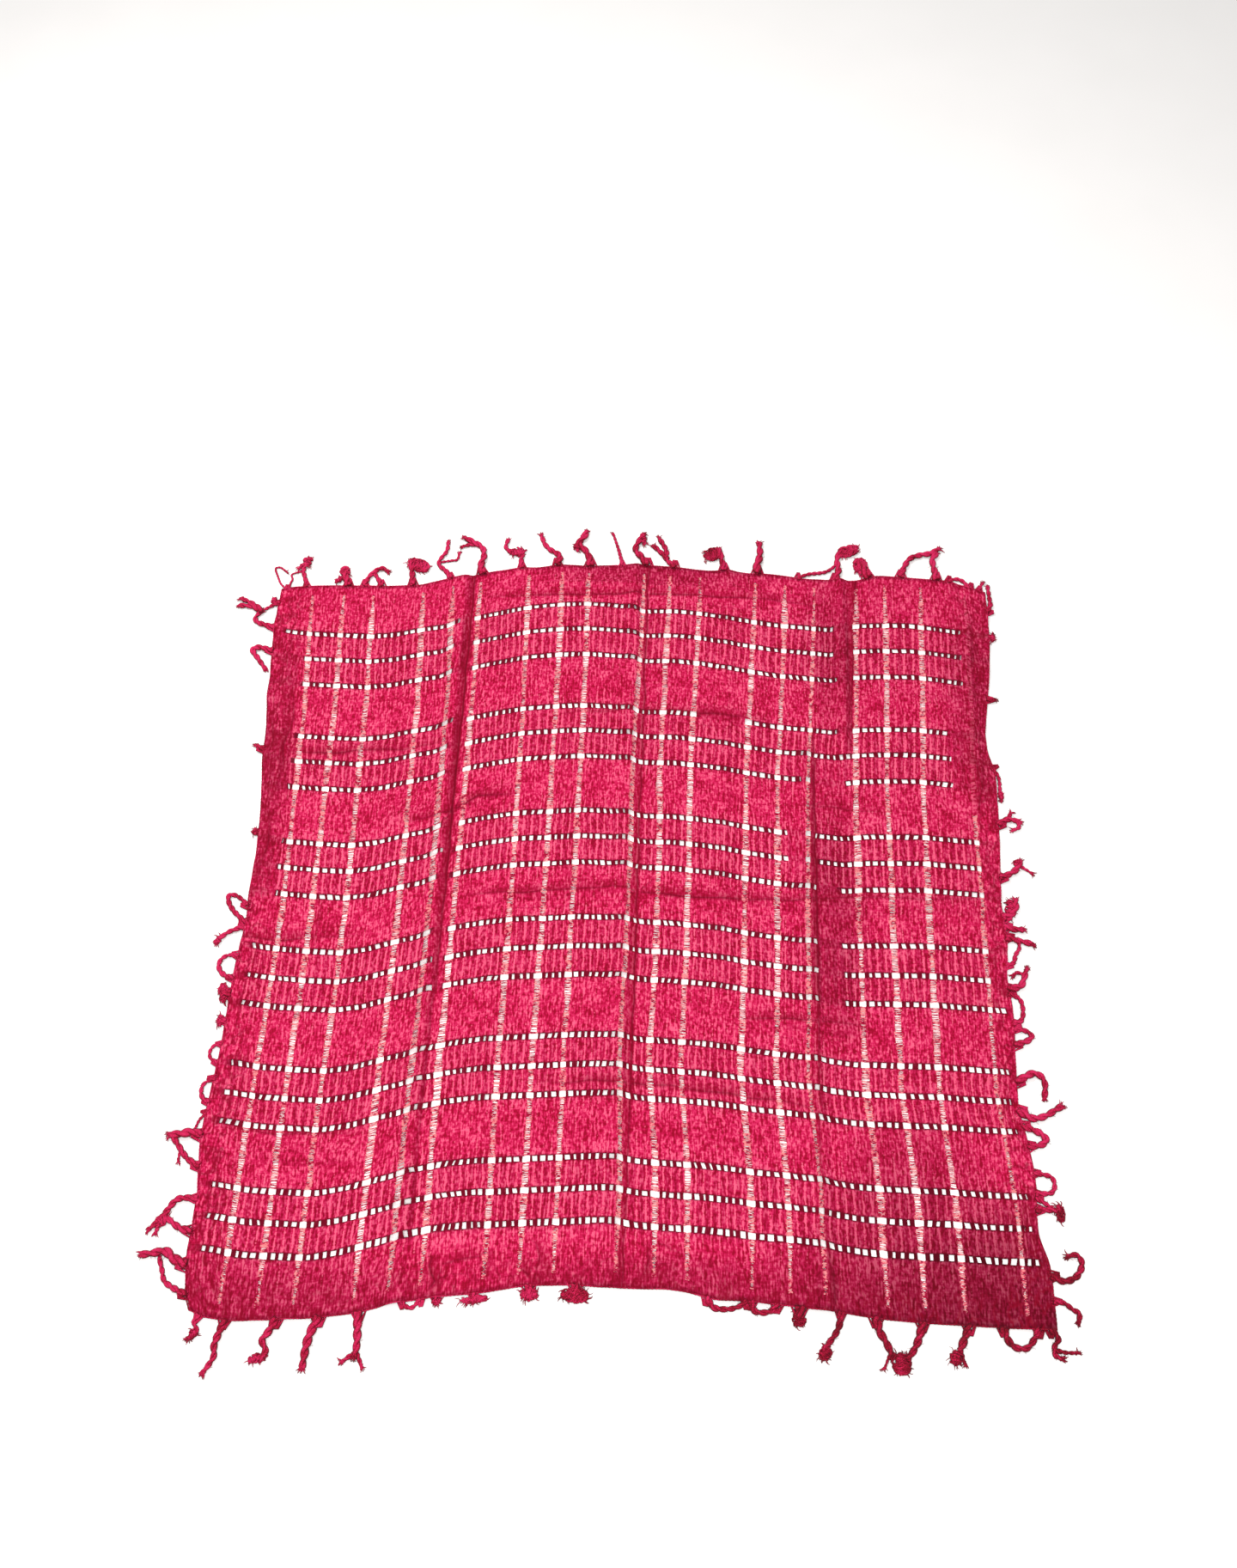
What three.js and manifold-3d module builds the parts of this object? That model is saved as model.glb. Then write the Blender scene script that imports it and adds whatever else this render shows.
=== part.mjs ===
// A square openwork wrap laid out flat, woven in one piece, with twisted tassels along all four edges.
// Millimetres, +Z up. X runs along the near edge, Y from the near edge to the far one, and the cloth
// lies on Z = 0. The tables below measure from the near left corner of the laid square.
import * as THREE from "three";
import { mergeVertices } from "three/addons/utils/BufferGeometryUtils.js";
import Module from "manifold-3d";

const wasm = await Module();
wasm.setup();

const side = 1000; // the woven square, edge to edge
const wall = 1.6; // thickness of the cloth
const holeWide = 10.5; // a cut crossing, along the row
const holeDeep = 7.2; // a cut crossing, across the row
const seam = 0.3; // between the cloth's edge and the strip that holds the tassels
const stripWide = 3.4; // the strip the tassels are knotted into
const stripThick = 1.2;
const lift = 0.4; // tassels end this far above the floor
const cordFlat = 0.72; // a strand's height against its width
const tipTaper = 0.8; // a strand's end against its root
const thinHalf = 2.7; // a strand thinner than twice this has three sides, the others have four
const tuftHalf = 3.2; // half the height of a wound or frayed end
const tuftSides = 5;
const straightTurn = 0.004; // radians: an edge that turns less than this runs straight on
const rootClear = 1; // a tassel's root stands clear of the seam
const cornerGap = 5; // the strips stop this short of the corners
const creaseFade = 90; // a crease dies out over this length at each end
const pullNear = 0.9; // the rows' pull beside the near edge and beside the far edge, against the table
const pullFar = 1.02;

// Three openwork rows make a group, and there are six groups from the near edge to the far one.
const rowGroups = [
  { first: 64, middle: 103, last: 140 },
  { first: 214, middle: 254, last: 289 },
  { first: 371, middle: 408, last: 448 },
  { first: 523, middle: 559, last: 598 },
  { first: 681, middle: 720, last: 758 },
  { first: 841.5, middle: 883, last: 923 },
];

// The open columns that cross the rows: where each one runs at the near edge, the middle and the far edge.
const columns = [
  { near: 83, middle: 93, far: 91 },
  { near: 125, middle: 137, far: 133 },
  { near: 195, middle: 206, far: 205 },
  { near: 235, middle: 247, far: 247 },
  { near: 274, middle: 281, far: 286 },
  { near: 345, middle: 353, far: 355 },
  { near: 386, middle: 396, far: 403 },
  { near: 426, middle: 437, far: 441 },
  { near: 541, middle: 543, far: 553 },
  { near: 580, middle: 583, far: 599 },
  { near: 655, middle: 657, far: 675 },
  { near: 700, middle: 698, far: 718 },
  { near: 738, middle: 740, far: 762 },
  { near: 811, middle: 806, far: 822 },
  { near: 855, middle: 848, far: 861 },
  { near: 900, middle: 893, far: 911 },
];

// Creases left by folding, each a ridge from near to far: its crest, its height, how far it slopes on either
// side, and where it starts and ends. A crest inside a column needs no line of its own.
const creases = [
  { near: 243, middle: 254, far: 262, high: 8.5, left: 26, right: 12, from: 0, to: 1000, hasLine: true },
  { near: 494, middle: 499, far: 509, high: 6, left: 24, right: 12, from: 0, to: 1000, hasLine: true },
  { near: 743, middle: 740, far: 745, high: 6, left: 22, right: 13, from: 0, to: 800, hasLine: false },
  { near: 790, middle: 788, far: 798, high: 8, left: 20, right: 12, from: 660, to: 1000, hasLine: true },
];

// Plain lines of the weave between the columns, where the cloth may bend; the feet of the creases are among them.
const plainLines = [
  { near: 18, middle: 30, far: 26 },
  { near: 160, middle: 171, far: 169 },
  { near: 217, middle: 228, far: 234 },
  { near: 256, middle: 266, far: 274 },
  { near: 310, middle: 317, far: 320 },
  { near: 470, middle: 475, far: 485 },
  { near: 506, middle: 511, far: 521 },
  { near: 620, middle: 620, far: 637 },
  { near: 756, middle: 754, far: 776 },
  { near: 801, middle: 798, far: 810 },
  { near: 950, middle: 940, far: 960 },
];

// How far the rows are pulled towards the far edge, from left to right.
const rowPull = [
  { at: 0, by: 8 },
  { at: 45, by: 4 },
  { at: 135, by: -1 },
  { at: 170, by: 4 },
  { at: 205, by: 13.5 },
  { at: 247, by: 21.5 },
  { at: 280, by: 33 },
  { at: 355, by: 47 },
  { at: 440, by: 53 },
  { at: 500, by: 52 },
  { at: 520, by: 45 },
  { at: 600, by: 40 },
  { at: 660, by: 31 },
  { at: 745, by: 20 },
  { at: 785, by: 14 },
  { at: 815, by: 20 },
  { at: 890, by: 20 },
  { at: 950, by: 11 },
  { at: 1000, by: 6 },
];

// The near and far edges, from left to right.
const nearAndFar = [
  { at: 0, near: 6, far: 998 },
  { at: 14, near: -4, far: 1000 },
  { at: 20, near: -5, far: 1001 },
  { at: 50, near: -9, far: 1005 },
  { at: 150, near: -4, far: 1005 },
  { at: 200, near: 3, far: 1007 },
  { at: 240, near: 14, far: 1019 },
  { at: 262, near: 18, far: 1020 },
  { at: 290, near: 22, far: 1028 },
  { at: 340, near: 27, far: 1038 },
  { at: 368, near: 32, far: 1038 },
  { at: 390, near: 36, far: 1043 },
  { at: 395, near: 36, far: 1044 },
  { at: 440, near: 38, far: 1041 },
  { at: 500, near: 35, far: 1044 },
  { at: 560, near: 35, far: 1041 },
  { at: 585, near: 31, far: 1038 },
  { at: 610, near: 24, far: 1034 },
  { at: 640, near: 23, far: 1036 },
  { at: 650, near: 23, far: 1034 },
  { at: 666, near: 21, far: 1030 },
  { at: 700, near: 18, far: 1029 },
  { at: 750, near: 13, far: 1021 },
  { at: 790, near: 7, far: 1019 },
  { at: 800, near: 6, far: 1019 },
  { at: 820, near: 4, far: 1018 },
  { at: 850, near: 2, far: 1028 },
  { at: 880, near: 1, far: 1026 },
  { at: 900, near: 0, far: 1024 },
  { at: 950, near: -2, far: 1020 },
  { at: 1000, near: -3, far: 1000 },
];

// The left and right edges, from near to far.
const leftAndRight = [
  { at: 0, left: 5, right: 1003 },
  { at: 14, left: -3, right: 1003 },
  { at: 60, left: -9, right: 1003 },
  { at: 95, left: -7, right: 992 },
  { at: 130, left: -5, right: 992 },
  { at: 160, left: -8, right: 995 },
  { at: 200, left: -11, right: 991 },
  { at: 250, left: -7, right: 982 },
  { at: 310, left: -1, right: 984 },
  { at: 370, left: 1, right: 987 },
  { at: 420, left: 3, right: 983 },
  { at: 470, left: 10, right: 988 },
  { at: 520, left: 9, right: 984 },
  { at: 590, left: 12, right: 989 },
  { at: 650, left: 10, right: 992 },
  { at: 715, left: 4, right: 993 },
  { at: 730, left: 4, right: 986 },
  { at: 770, left: 3, right: 984 },
  { at: 830, left: -2, right: 993 },
  { at: 850, left: -1, right: 996 },
  { at: 900, left: -3, right: 1001 },
  { at: 935, left: -5, right: 1003 },
  { at: 980, left: -2, right: 1003 },
  { at: 1000, left: -1, right: 1003 },
];

// Soft swells that lie along the plain bands between two groups of rows; band 1 is the nearest.
const swells = [
  { band: 1, from: 60, to: 190, height: 5 },
  { band: 1, from: 420, to: 660, height: 4 },
  { band: 2, from: 640, to: 800, height: 7 },
  { band: 3, from: 0, to: 150, height: 4 },
  { band: 3, from: 340, to: 990, height: 6 },
  { band: 4, from: 180, to: 370, height: 6 },
  { band: 4, from: 730, to: 820, height: 5 },
  { band: 5, from: 40, to: 210, height: 4 },
  { band: 5, from: 580, to: 680, height: 6 },
];

// The strands of the tassels: "at" is the root along the edge, and the route goes on from there, each point
// along the edge and out from it. Only a strand that forks off another one starts further "out". A route that
// comes back to the edge is a tassel that turns into it again.
const strands = {
  far: [
    { at: 6, half: 1.5, route: [[-3, 9], [-9, 22], [-14, 35], [-6, 37], [5, 30]] },
    { at: 9, half: 1.3, route: [[12, 9], [15, 15], [14, 23], [24, 26]] },
    { at: 34, half: 2.8, route: [[33, 12], [31, 27], [36, 40]] },
    { at: 94, half: 4, route: [[90, 12], [86, 26]] },
    { at: 118, half: 3.2, route: [[122, 12], [129, 22], [140, 29], [149, 24]] },
    { at: 142, half: 3, route: [[137, 10], [131, 19]] },
    { at: 187, half: 4, route: [[186, 16], [183, 40]] },
    { at: 241, half: 3, route: [[236, 13], [230, 24], [232, 34], [240, 47], [242, 62]] },
    { at: 233, out: 30, half: 1.8, route: [[243, 30], [250, 31], [253, 41]] },
    { at: 286, half: 4.2, route: [[287, 14], [293, 28], [293, 43], [285, 55], [275, 66]] },
    { at: 288, out: 50, half: 2.6, route: [[279, 53], [269, 53]] },
    { at: 342, half: 3, route: [[342, 13], [345, 26]] },
    { at: 331, out: 27, half: 3, route: [[325, 37], [329, 49]] },
    { at: 393, half: 3.6, route: [[397, 13], [387, 26], [382, 38], [380, 54]] },
    { at: 441, half: 4.5, route: [[438, 15], [430, 27], [421, 36], [427, 48], [431, 57]] },
    { at: 487, half: 2.2, route: [[484, 18], [480, 36], [476, 52]] },
    { at: 523, half: 4.2, route: [[514, 12], [505, 24], [508, 38], [514, 52]] },
    { at: 562, half: 3.4, route: [[551, 9], [545, 18], [531, 32]] },
    { at: 550, out: 12, half: 3.4, route: [[548, 28], [537, 47]] },
    { at: 633, half: 4, route: [[631, 14], [628, 34]] },
    { at: 681, half: 4.6, route: [[680, 12], [684, 30], [683, 51]] },
    { at: 738, half: 2.4, route: [[752, 7], [775, 12], [786, 19], [793, 28]] },
    { at: 791, half: 4, route: [[796, 16], [794, 32], [799, 50], [812, 55]] },
    { at: 838, half: 5, route: [[836, 14], [834, 28]] },
    { at: 885, half: 3.8, route: [[889, 14], [897, 31], [912, 39], [926, 43], [938, 52]] },
    { at: 935, half: 4.2, route: [[932, 16], [929, 32], [934, 43]] },
    { at: 952, half: 2.6, route: [[960, 6], [970, 6.5], [982, 3.5]] },
    { at: 994, half: 2.4, route: [[996, 12]] },
  ],
  near: [
    { at: 15, half: 2.6, route: [[14, 8], [20, 17], [16, 26]] },
    { at: 46, half: 3.4, route: [[43, 14], [41, 28], [43, 40], [37, 58]] },
    { at: 106, half: 3.8, route: [[98, 13], [91, 22], [96, 33], [92, 42]] },
    { at: 155, half: 4.2, route: [[147, 14], [142, 30], [139, 53]] },
    { at: 200, half: 4, route: [[198, 16], [196, 34], [193, 47]] },
    { at: 194, out: 43, half: 2.4, route: [[187, 47], [180, 51]] },
    { at: 195, out: 44, half: 2.2, route: [[198, 58]] },
    { at: 249, half: 2.2, route: [[255, 6], [262, 7], [271, 2]] },
    { at: 289, half: 2.6, route: [[289, 5]] },
    { at: 332, half: 3, route: [[332, 7]] },
    { at: 396, half: 4, route: [[396, 10]] },
    { at: 450, half: 4, route: [[450, 11]] },
    { at: 603, half: 3, route: [[611, 8.5], [626, 9.5], [640, 6], [649, 2]] },
    { at: 654, half: 3.3, route: [[658, 9], [667, 10.5], [678, 7], [684, 2]] },
    { at: 710, half: 5, route: [[710, 12]] },
    { at: 757, half: 3.4, route: [[756, 15], [751, 27], [743, 39], [740, 50]] },
    { at: 797, half: 4.2, route: [[801, 13], [808, 23], [816, 38]] },
    { at: 814, out: 36, half: 1.6, route: [[809, 51]] },
    { at: 850, half: 3.8, route: [[846, 16], [841, 29], [834, 41]] },
    { at: 903, half: 4, route: [[897, 14], [891, 28]] },
    { at: 893, out: 27, half: 1.8, route: [[896, 40]] },
    { at: 941, half: 3.6, route: [[945, 11], [953, 20], [966, 21], [975, 12], [982, 2]] },
    { at: 995, half: 3, route: [[1003, 9], [998, 18], [998, 27], [1005, 31]] },
    { at: 999, out: 22, half: 2.2, route: [[1011, 24], [1022, 24]] },
  ],
  left: [
    { at: 20, half: 3, route: [[28, 12], [38, 24], [50, 27], [61, 31]] },
    { at: 54, half: 4.6, route: [[60, 12], [68, 25], [66, 38], [64, 52]] },
    { at: 93, half: 3.6, route: [[95, 13], [102, 25], [107, 34]] },
    { at: 131, half: 3.2, route: [[132, 14], [129, 24], [119, 30], [107, 37], [91, 50]] },
    { at: 104, out: 39, half: 2.2, route: [[89, 41]] },
    { at: 170, half: 3.4, route: [[179, 13], [191, 22], [203, 33]] },
    { at: 193, out: 23, half: 1.8, route: [[179, 25]] },
    { at: 207, half: 4.4, route: [[210, 10], [207, 24], [205, 38]] },
    { at: 236, half: 1.6, route: [[226, 6], [216, 9], [210, 14]] },
    { at: 248, half: 2.5, route: [[254, 9], [264, 12], [272, 9], [278, 2]] },
    { at: 298, half: 2.2, route: [[303, 10], [312, 12.5], [320, 8], [322, 2]] },
    { at: 352, half: 3, route: [[352, 6]] },
    { at: 388, half: 4, route: [[388, 9]] },
    { at: 409, half: 2.8, route: [[412, 11], [421, 20], [431, 20], [438, 12], [440, 2]] },
    { at: 479, half: 3.1, route: [[475, 12], [467, 23], [454, 32]] },
    { at: 485, half: 2.8, route: [[498, 14], [512, 24], [522, 25], [521, 14], [509, 2]] },
    { at: 614, half: 2.4, route: [[614, 4]] },
    { at: 738, half: 3.4, route: [[743, 10]] },
    { at: 894, half: 3.4, route: [[900, 18], [896, 27], [880, 17], [866, 8]] },
    { at: 933, half: 3.3, route: [[936, 12], [941, 26], [949, 28], [958, 22]] },
    { at: 975, half: 2.4, route: [[967, 11], [959, 22]] },
    { at: 957, out: 20, half: 4, route: [[965, 36], [965, 54]] },
    { at: 960, out: 24, half: 3.6, route: [[970, 38], [977, 54]] },
  ],
  right: [
    { at: 29, half: 2.8, route: [[27, 11], [20, 20], [16, 27], [7, 25]] },
    { at: 57, half: 3.2, route: [[51, 13], [55, 28], [63, 38], [71, 36], [72, 26]] },
    { at: 133, half: 3.4, route: [[134, 12], [134, 24]] },
    { at: 147, half: 2.6, route: [[141, 11], [136, 19]] },
    { at: 152, half: 2.8, route: [[154, 17], [162, 22], [171, 18], [176, 2]] },
    { at: 208, half: 3.6, route: [[207, 13], [211, 23], [219, 20], [226, 11], [233, 2]] },
    { at: 252, half: 4, route: [[243, 9], [239, 18], [241, 32], [248, 43], [257, 51]] },
    { at: 287, half: 3.8, route: [[293, 9], [299, 21], [294, 31], [283, 34], [270, 32]] },
    { at: 334, half: 3.2, route: [[339, 13], [346, 21], [353, 14], [355, 2]] },
    { at: 362, half: 2.8, route: [[366, 9], [379, 13], [393, 11], [401, 2]] },
    { at: 407, half: 3.8, route: [[409, 14], [419, 20], [436, 24]] },
    { at: 428, out: 21, half: 2.4, route: [[430, 12], [426, 8]] },
    { at: 438, half: 2.4, route: [[443, 8], [453, 10], [463, 15], [471, 14]] },
    { at: 476, half: 3.8, route: [[472, 12], [470, 22], [468, 31]] },
    { at: 490, half: 3.8, route: [[486, 12], [485, 22]] },
    { at: 503, half: 4, route: [[508, 13], [518, 18], [529, 18]] },
    { at: 559, half: 3.8, route: [[565, 12], [573, 21], [583, 25]] },
    { at: 578, out: 24, half: 2, route: [[573, 34], [569, 40]] },
    { at: 635, half: 3.4, route: [[642, 8], [643, 16], [641, 26]] },
    { at: 642, out: 25, half: 2.4, route: [[633, 26], [629, 20]] },
    { at: 643, out: 11, half: 2.4, route: [[652, 16]] },
    { at: 720, half: 2.4, route: [[704, 4], [680, 4]] },
    { at: 825, half: 3.2, route: [[826, 8]] },
    { at: 925, half: 2.4, route: [[925, 4]] },
    { at: 966, half: 3, route: [[976, 5], [990, 5], [1008, 4]] },
  ],
};

// Wound and frayed ends: the middle along the edge and out from it, half the length and width, and degrees
// from the edge.
const tufts = {
  far: [
    { at: 37, out: 42, long: 8.5, wide: 7, turn: 60 },
    { at: 27, out: 34, long: 7, wide: 3, turn: 30 },
    { at: 88, out: 22, long: 10, wide: 7.5, turn: 100 },
    { at: 79, out: 8, long: 7, wide: 4.5, turn: 50 },
    { at: 196, out: 33, long: 18, wide: 11, turn: -20 },
    { at: 338, out: 26, long: 9.5, wide: 8.5, turn: 0 },
    { at: 419, out: 29, long: 8, wide: 5, turn: 100 },
    { at: 516, out: 41, long: 8, wide: 4.5, turn: 100 },
    { at: 618, out: 27, long: 15, wide: 11, turn: 10 },
    { at: 818, out: 50, long: 17, wide: 9, turn: 0 },
    { at: 835, out: 20, long: 15, wide: 10.5, turn: 80 },
  ],
  near: [
    { at: 17, out: 21, long: 7, wide: 4.5, turn: 100 },
    { at: 88, out: 41, long: 12, wide: 5, turn: 170 },
    { at: 289, out: 4.5, long: 6, wide: 3, turn: 0 },
    { at: 332, out: 6, long: 17, wide: 4.5, turn: 0 },
    { at: 396, out: 9.5, long: 11, wide: 7.5, turn: 0 },
    { at: 450, out: 11, long: 17, wide: 8.5, turn: 0 },
    { at: 710, out: 12, long: 9, wide: 8, turn: 90 },
    { at: 742, out: 46, long: 9, wide: 7, turn: 110 },
    { at: 827, out: 46, long: 13, wide: 11, turn: 80 },
    { at: 887, out: 35, long: 9, wide: 7.5, turn: 120 },
  ],
  left: [
    { at: 103, out: 36, long: 9, wide: 7, turn: 120 },
    { at: 352, out: 6, long: 8, wide: 4, turn: 0 },
    { at: 388, out: 8.5, long: 14, wide: 6, turn: 8 },
    { at: 456, out: 31, long: 7, wide: 4.5, turn: 160 },
    { at: 614, out: 4, long: 6, wide: 2.6, turn: 0 },
    { at: 976, out: 7, long: 6, wide: 4, turn: 0 },
  ],
  right: [
    { at: 131, out: 27, long: 11, wide: 5.5, turn: 170 },
    { at: 515, out: 11, long: 13, wide: 7, turn: 8 },
    { at: 581, out: 22, long: 6, wide: 5, turn: 60 },
    { at: 675, out: 5, long: 9, wide: 3.2, turn: 0 },
    { at: 925, out: 4.4, long: 8, wide: 2.8, turn: 0 },
  ],
};

// Sections of a wound or frayed end, from one end to the other, against its half length, width and height.
const tuftShape = [
  { at: -1, wide: 0.35, high: 0.4 },
  { at: -0.5, wide: 0.95, high: 1 },
  { at: 0.4, wide: 1, high: 1 },
  { at: 1, wide: 0.4, high: 0.4 },
];

// The value of one named column of a table at a place between its rows.
function along(table, at, column) {
  const after = table.findIndex((row) => row.at >= at);
  if (after === 0) return table[0][column];
  if (after < 0) return table[table.length - 1][column];
  const a = table[after - 1];
  const b = table[after];
  return THREE.MathUtils.lerp(a[column], b[column], (at - a.at) / (b.at - a.at));
}

// Where a line of the weave runs at a depth of the flat cloth, through its three given places.
function lineAt(line, deep) {
  const t = deep / side;
  return t < 0.5
    ? THREE.MathUtils.lerp(line.near, line.middle, t * 2)
    : THREE.MathUtils.lerp(line.middle, line.far, t * 2 - 1);
}

// Every line that runs from the near edge to the far one. A column gives two of them.
function linesAcross() {
  const lines = [];
  for (const column of columns) {
    for (const edge of [-1, 1]) lines.push({ ...column, shift: (edge * holeWide) / 2, opens: edge < 0 });
  }
  for (const crease of creases.filter((line) => line.hasLine)) lines.push({ ...crease, shift: 0 });
  for (const plain of plainLines) lines.push({ ...plain, shift: 0 });
  lines.sort((a, b) => a.middle + a.shift - b.middle - b.shift);
  return [{ edge: "left" }, ...lines, { edge: "right" }];
}

// Every line that runs from left to right: two for each openwork row, and the middles of the plain bands.
function linesDeep() {
  const lines = [{ edge: "near" }, { deep: rowGroups[0].first / 2, swell: 0 }];
  rowGroups.forEach((group, g) => {
    for (const row of [group.first, group.middle, group.last]) {
      lines.push({ deep: row - holeDeep / 2, opens: true });
      lines.push({ deep: row + holeDeep / 2 });
    }
    const next = rowGroups[g + 1];
    if (next) lines.push({ deep: (group.last + next.first) / 2, swell: g + 1 });
  });
  lines.push({ deep: (rowGroups.at(-1).last + side) / 2, swell: 0 });
  return [...lines, { edge: "far" }];
}

// The place of a crossing of two lines on the underside of the cloth.
function crossing(lineX, lineY) {
  const deep = { near: 0, far: side }[lineY.edge] ?? lineY.deep;
  const x = lineX.edge ? along(leftAndRight, deep, lineX.edge) : lineAt(lineX, deep) + lineX.shift;
  const share = THREE.MathUtils.lerp(pullNear, pullFar, deep / side);
  const y = lineY.edge ? along(nearAndFar, x, lineY.edge) : deep + along(rowPull, x, "by") * share;
  let z = creaseHeight(x, deep);
  if (lineY.swell) {
    for (const swell of swells) {
      if (swell.band === lineY.swell && x > swell.from && x < swell.to) {
        z += swell.height * Math.sin((Math.PI * (x - swell.from)) / (swell.to - swell.from));
      }
    }
  }
  return [x, y, z];
}

// The height of the tallest crease at a place: one at its crest, level again at the ends of its slopes.
function creaseHeight(x, deep) {
  const heights = creases.map((crease) => {
    const away = x - lineAt(crease, deep);
    const t = Math.min(1, Math.abs(away) / (away < 0 ? crease.left : crease.right));
    const start = THREE.MathUtils.smoothstep(deep, crease.from, crease.from + creaseFade);
    const end = 1 - THREE.MathUtils.smoothstep(deep, crease.to - creaseFade, crease.to);
    return crease.high * start * end * (1 - t) * (1 - t) * (1 + 2 * t);
  });
  return Math.max(...heights);
}

// A closed wall over the grid of crossings, open where a row meets a column.
function clothGeometry(across, deepLines) {
  const wide = across.length;
  const under = deepLines.flatMap((lineY) => across.map((lineX) => crossing(lineX, lineY)));
  const positions = [...under, ...under.map(([x, y, z]) => [x, y, z + wall])].flat();
  const index = [];
  const top = under.length;
  const solid = (i, j) =>
    i >= 0 && j >= 0 && i < wide - 1 && j < deepLines.length - 1 && !(across[i].opens && deepLines[j].opens);
  const side4 = (a, b) => index.push(a, b, b + top, a, b + top, a + top);
  for (let j = 0; j < deepLines.length - 1; j++) {
    for (let i = 0; i < wide - 1; i++) {
      if (!solid(i, j)) continue;
      const [a, b, c, d] = [j * wide + i, j * wide + i + 1, (j + 1) * wide + i + 1, (j + 1) * wide + i];
      index.push(a, c, b, a, d, c);
      index.push(a + top, b + top, c + top, a + top, c + top, d + top);
      if (!solid(i, j - 1)) side4(a, b);
      if (!solid(i + 1, j)) side4(b, c);
      if (!solid(i, j + 1)) side4(c, d);
      if (!solid(i - 1, j)) side4(d, a);
    }
  }
  const geometry = new THREE.BufferGeometry();
  geometry.setAttribute("position", new THREE.Float32BufferAttribute(positions, 3));
  geometry.setIndex(index);
  return geometry;
}

// The four edges of the laid cloth as lists of points, with the side that faces out.
function clothEdges(across, deepLines) {
  const last = (list) => list[list.length - 1];
  return {
    near: { points: across.map((line) => crossing(line, deepLines[0])), turn: -1 },
    far: { points: across.map((line) => crossing(line, last(deepLines))), turn: 1 },
    left: { points: deepLines.map((line) => crossing(across[0], line)), turn: 1 },
    right: { points: deepLines.map((line) => crossing(last(across), line)), turn: -1 },
  };
}

// A point on an edge and out from it. Along the near and far edges "at" is X, along the others Y.
function edgeFrame(edge, name) {
  const axis = name === "near" || name === "far" ? 0 : 1;
  const points = edge.points;
  return (at, out) => {
    let k = points.findIndex((p) => p[axis] >= at);
    k = THREE.MathUtils.clamp(k < 0 ? points.length - 1 : k, 1, points.length - 1);
    const a = new THREE.Vector2(points[k - 1][0], points[k - 1][1]);
    const b = new THREE.Vector2(points[k][0], points[k][1]);
    const run = b.clone().sub(a).normalize();
    const share = (at - points[k - 1][axis]) / (points[k][axis] - points[k - 1][axis]);
    const place = a.lerp(b, share);
    return place.add(new THREE.Vector2(-run.y, run.x).multiplyScalar(edge.turn * out));
  };
}

// The angle between the two stretches that meet at a point.
function turnAt(before, p, after) {
  const a = p.clone().sub(before);
  const b = after.clone().sub(p);
  return Math.abs(Math.atan2(a.cross(b), a.dot(b)));
}

// A strip beside an edge, one seam away from it all along.
function stripGeometry(edge) {
  const inner = [];
  const outer = [];
  const plan = edge.points.map(([x, y]) => new THREE.Vector2(x, y));
  const first = plan[0].clone().lerp(plan[1], cornerGap / plan[0].distanceTo(plan[1]));
  const end = plan.length - 1;
  const final = plan[end].clone().lerp(plan[end - 1], cornerGap / plan[end].distanceTo(plan[end - 1]));
  const bends = (p, k) => k > 0 && k < end && turnAt(plan[k - 1], p, plan[k + 1]) > straightTurn;
  const route = [first, ...plan.filter(bends), final];
  route.forEach((p, k) => {
    const before = p.clone().sub(route[Math.max(k - 1, 0)]).normalize();
    const after = route[Math.min(k + 1, route.length - 1)].clone().sub(p).normalize();
    if (k === 0) before.copy(after);
    if (k === route.length - 1) after.copy(before);
    const run = before.clone().add(after).normalize();
    const miter = new THREE.Vector2(-run.y, run.x).multiplyScalar(edge.turn / run.dot(after));
    inner.push(p.clone().addScaledVector(miter, seam));
    outer.push(p.clone().addScaledVector(miter, seam + stripWide));
  });
  const rings = route.map((_, k) => [
    [inner[k].x, inner[k].y, lift],
    [outer[k].x, outer[k].y, lift],
    [outer[k].x, outer[k].y, lift + stripThick],
    [inner[k].x, inner[k].y, lift + stripThick],
  ]);
  return ringsGeometry(edge.turn > 0 ? rings : rings.reverse());
}

// A closed body through rings of points, with flat ends.
function ringsGeometry(rings) {
  const n = rings[0].length;
  const index = [];
  for (let k = 0; k < rings.length - 1; k++) {
    for (let s = 0; s < n; s++) {
      const [a, b] = [k * n + s, k * n + ((s + 1) % n)];
      index.push(a, b, b + n, a, b + n, a + n);
    }
  }
  const back = (rings.length - 1) * n;
  for (let s = 1; s < n - 1; s++) {
    index.push(0, s + 1, s);
    index.push(back, back + s, back + s + 1);
  }
  const geometry = new THREE.BufferGeometry();
  geometry.setAttribute("position", new THREE.Float32BufferAttribute(rings.flat(2), 3));
  geometry.setIndex(index);
  return geometry;
}

// A strand along plan points, thick at its root and thinner at its tip, just clear of the floor.
function strandGeometry(route, sides, rootHalf, tipHalf) {
  const rings = route.map((p, k) => {
    const run = route[Math.min(k + 1, route.length - 1)].clone().sub(route[Math.max(k - 1, 0)]).normalize();
    const half = THREE.MathUtils.lerp(rootHalf, tipHalf, k / (route.length - 1));
    const ring = [];
    for (let s = 0; s < sides; s++) {
      const turn = -Math.PI / 2 + (2 * Math.PI * s) / sides;
      const across = Math.cos(turn) * half;
      const up = (1 + Math.sin(turn)) * half * cordFlat;
      ring.push([p.x - run.y * across, p.y + run.x * across, lift + up]);
    }
    return ring;
  });
  return ringsGeometry(rings);
}

// Even points on a smooth line through a few given ones.
function smooth(points, steps) {
  const curve = new THREE.SplineCurve(points);
  return Array.from({ length: steps + 1 }, (_, k) => curve.getPointAt(k / steps));
}

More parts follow.
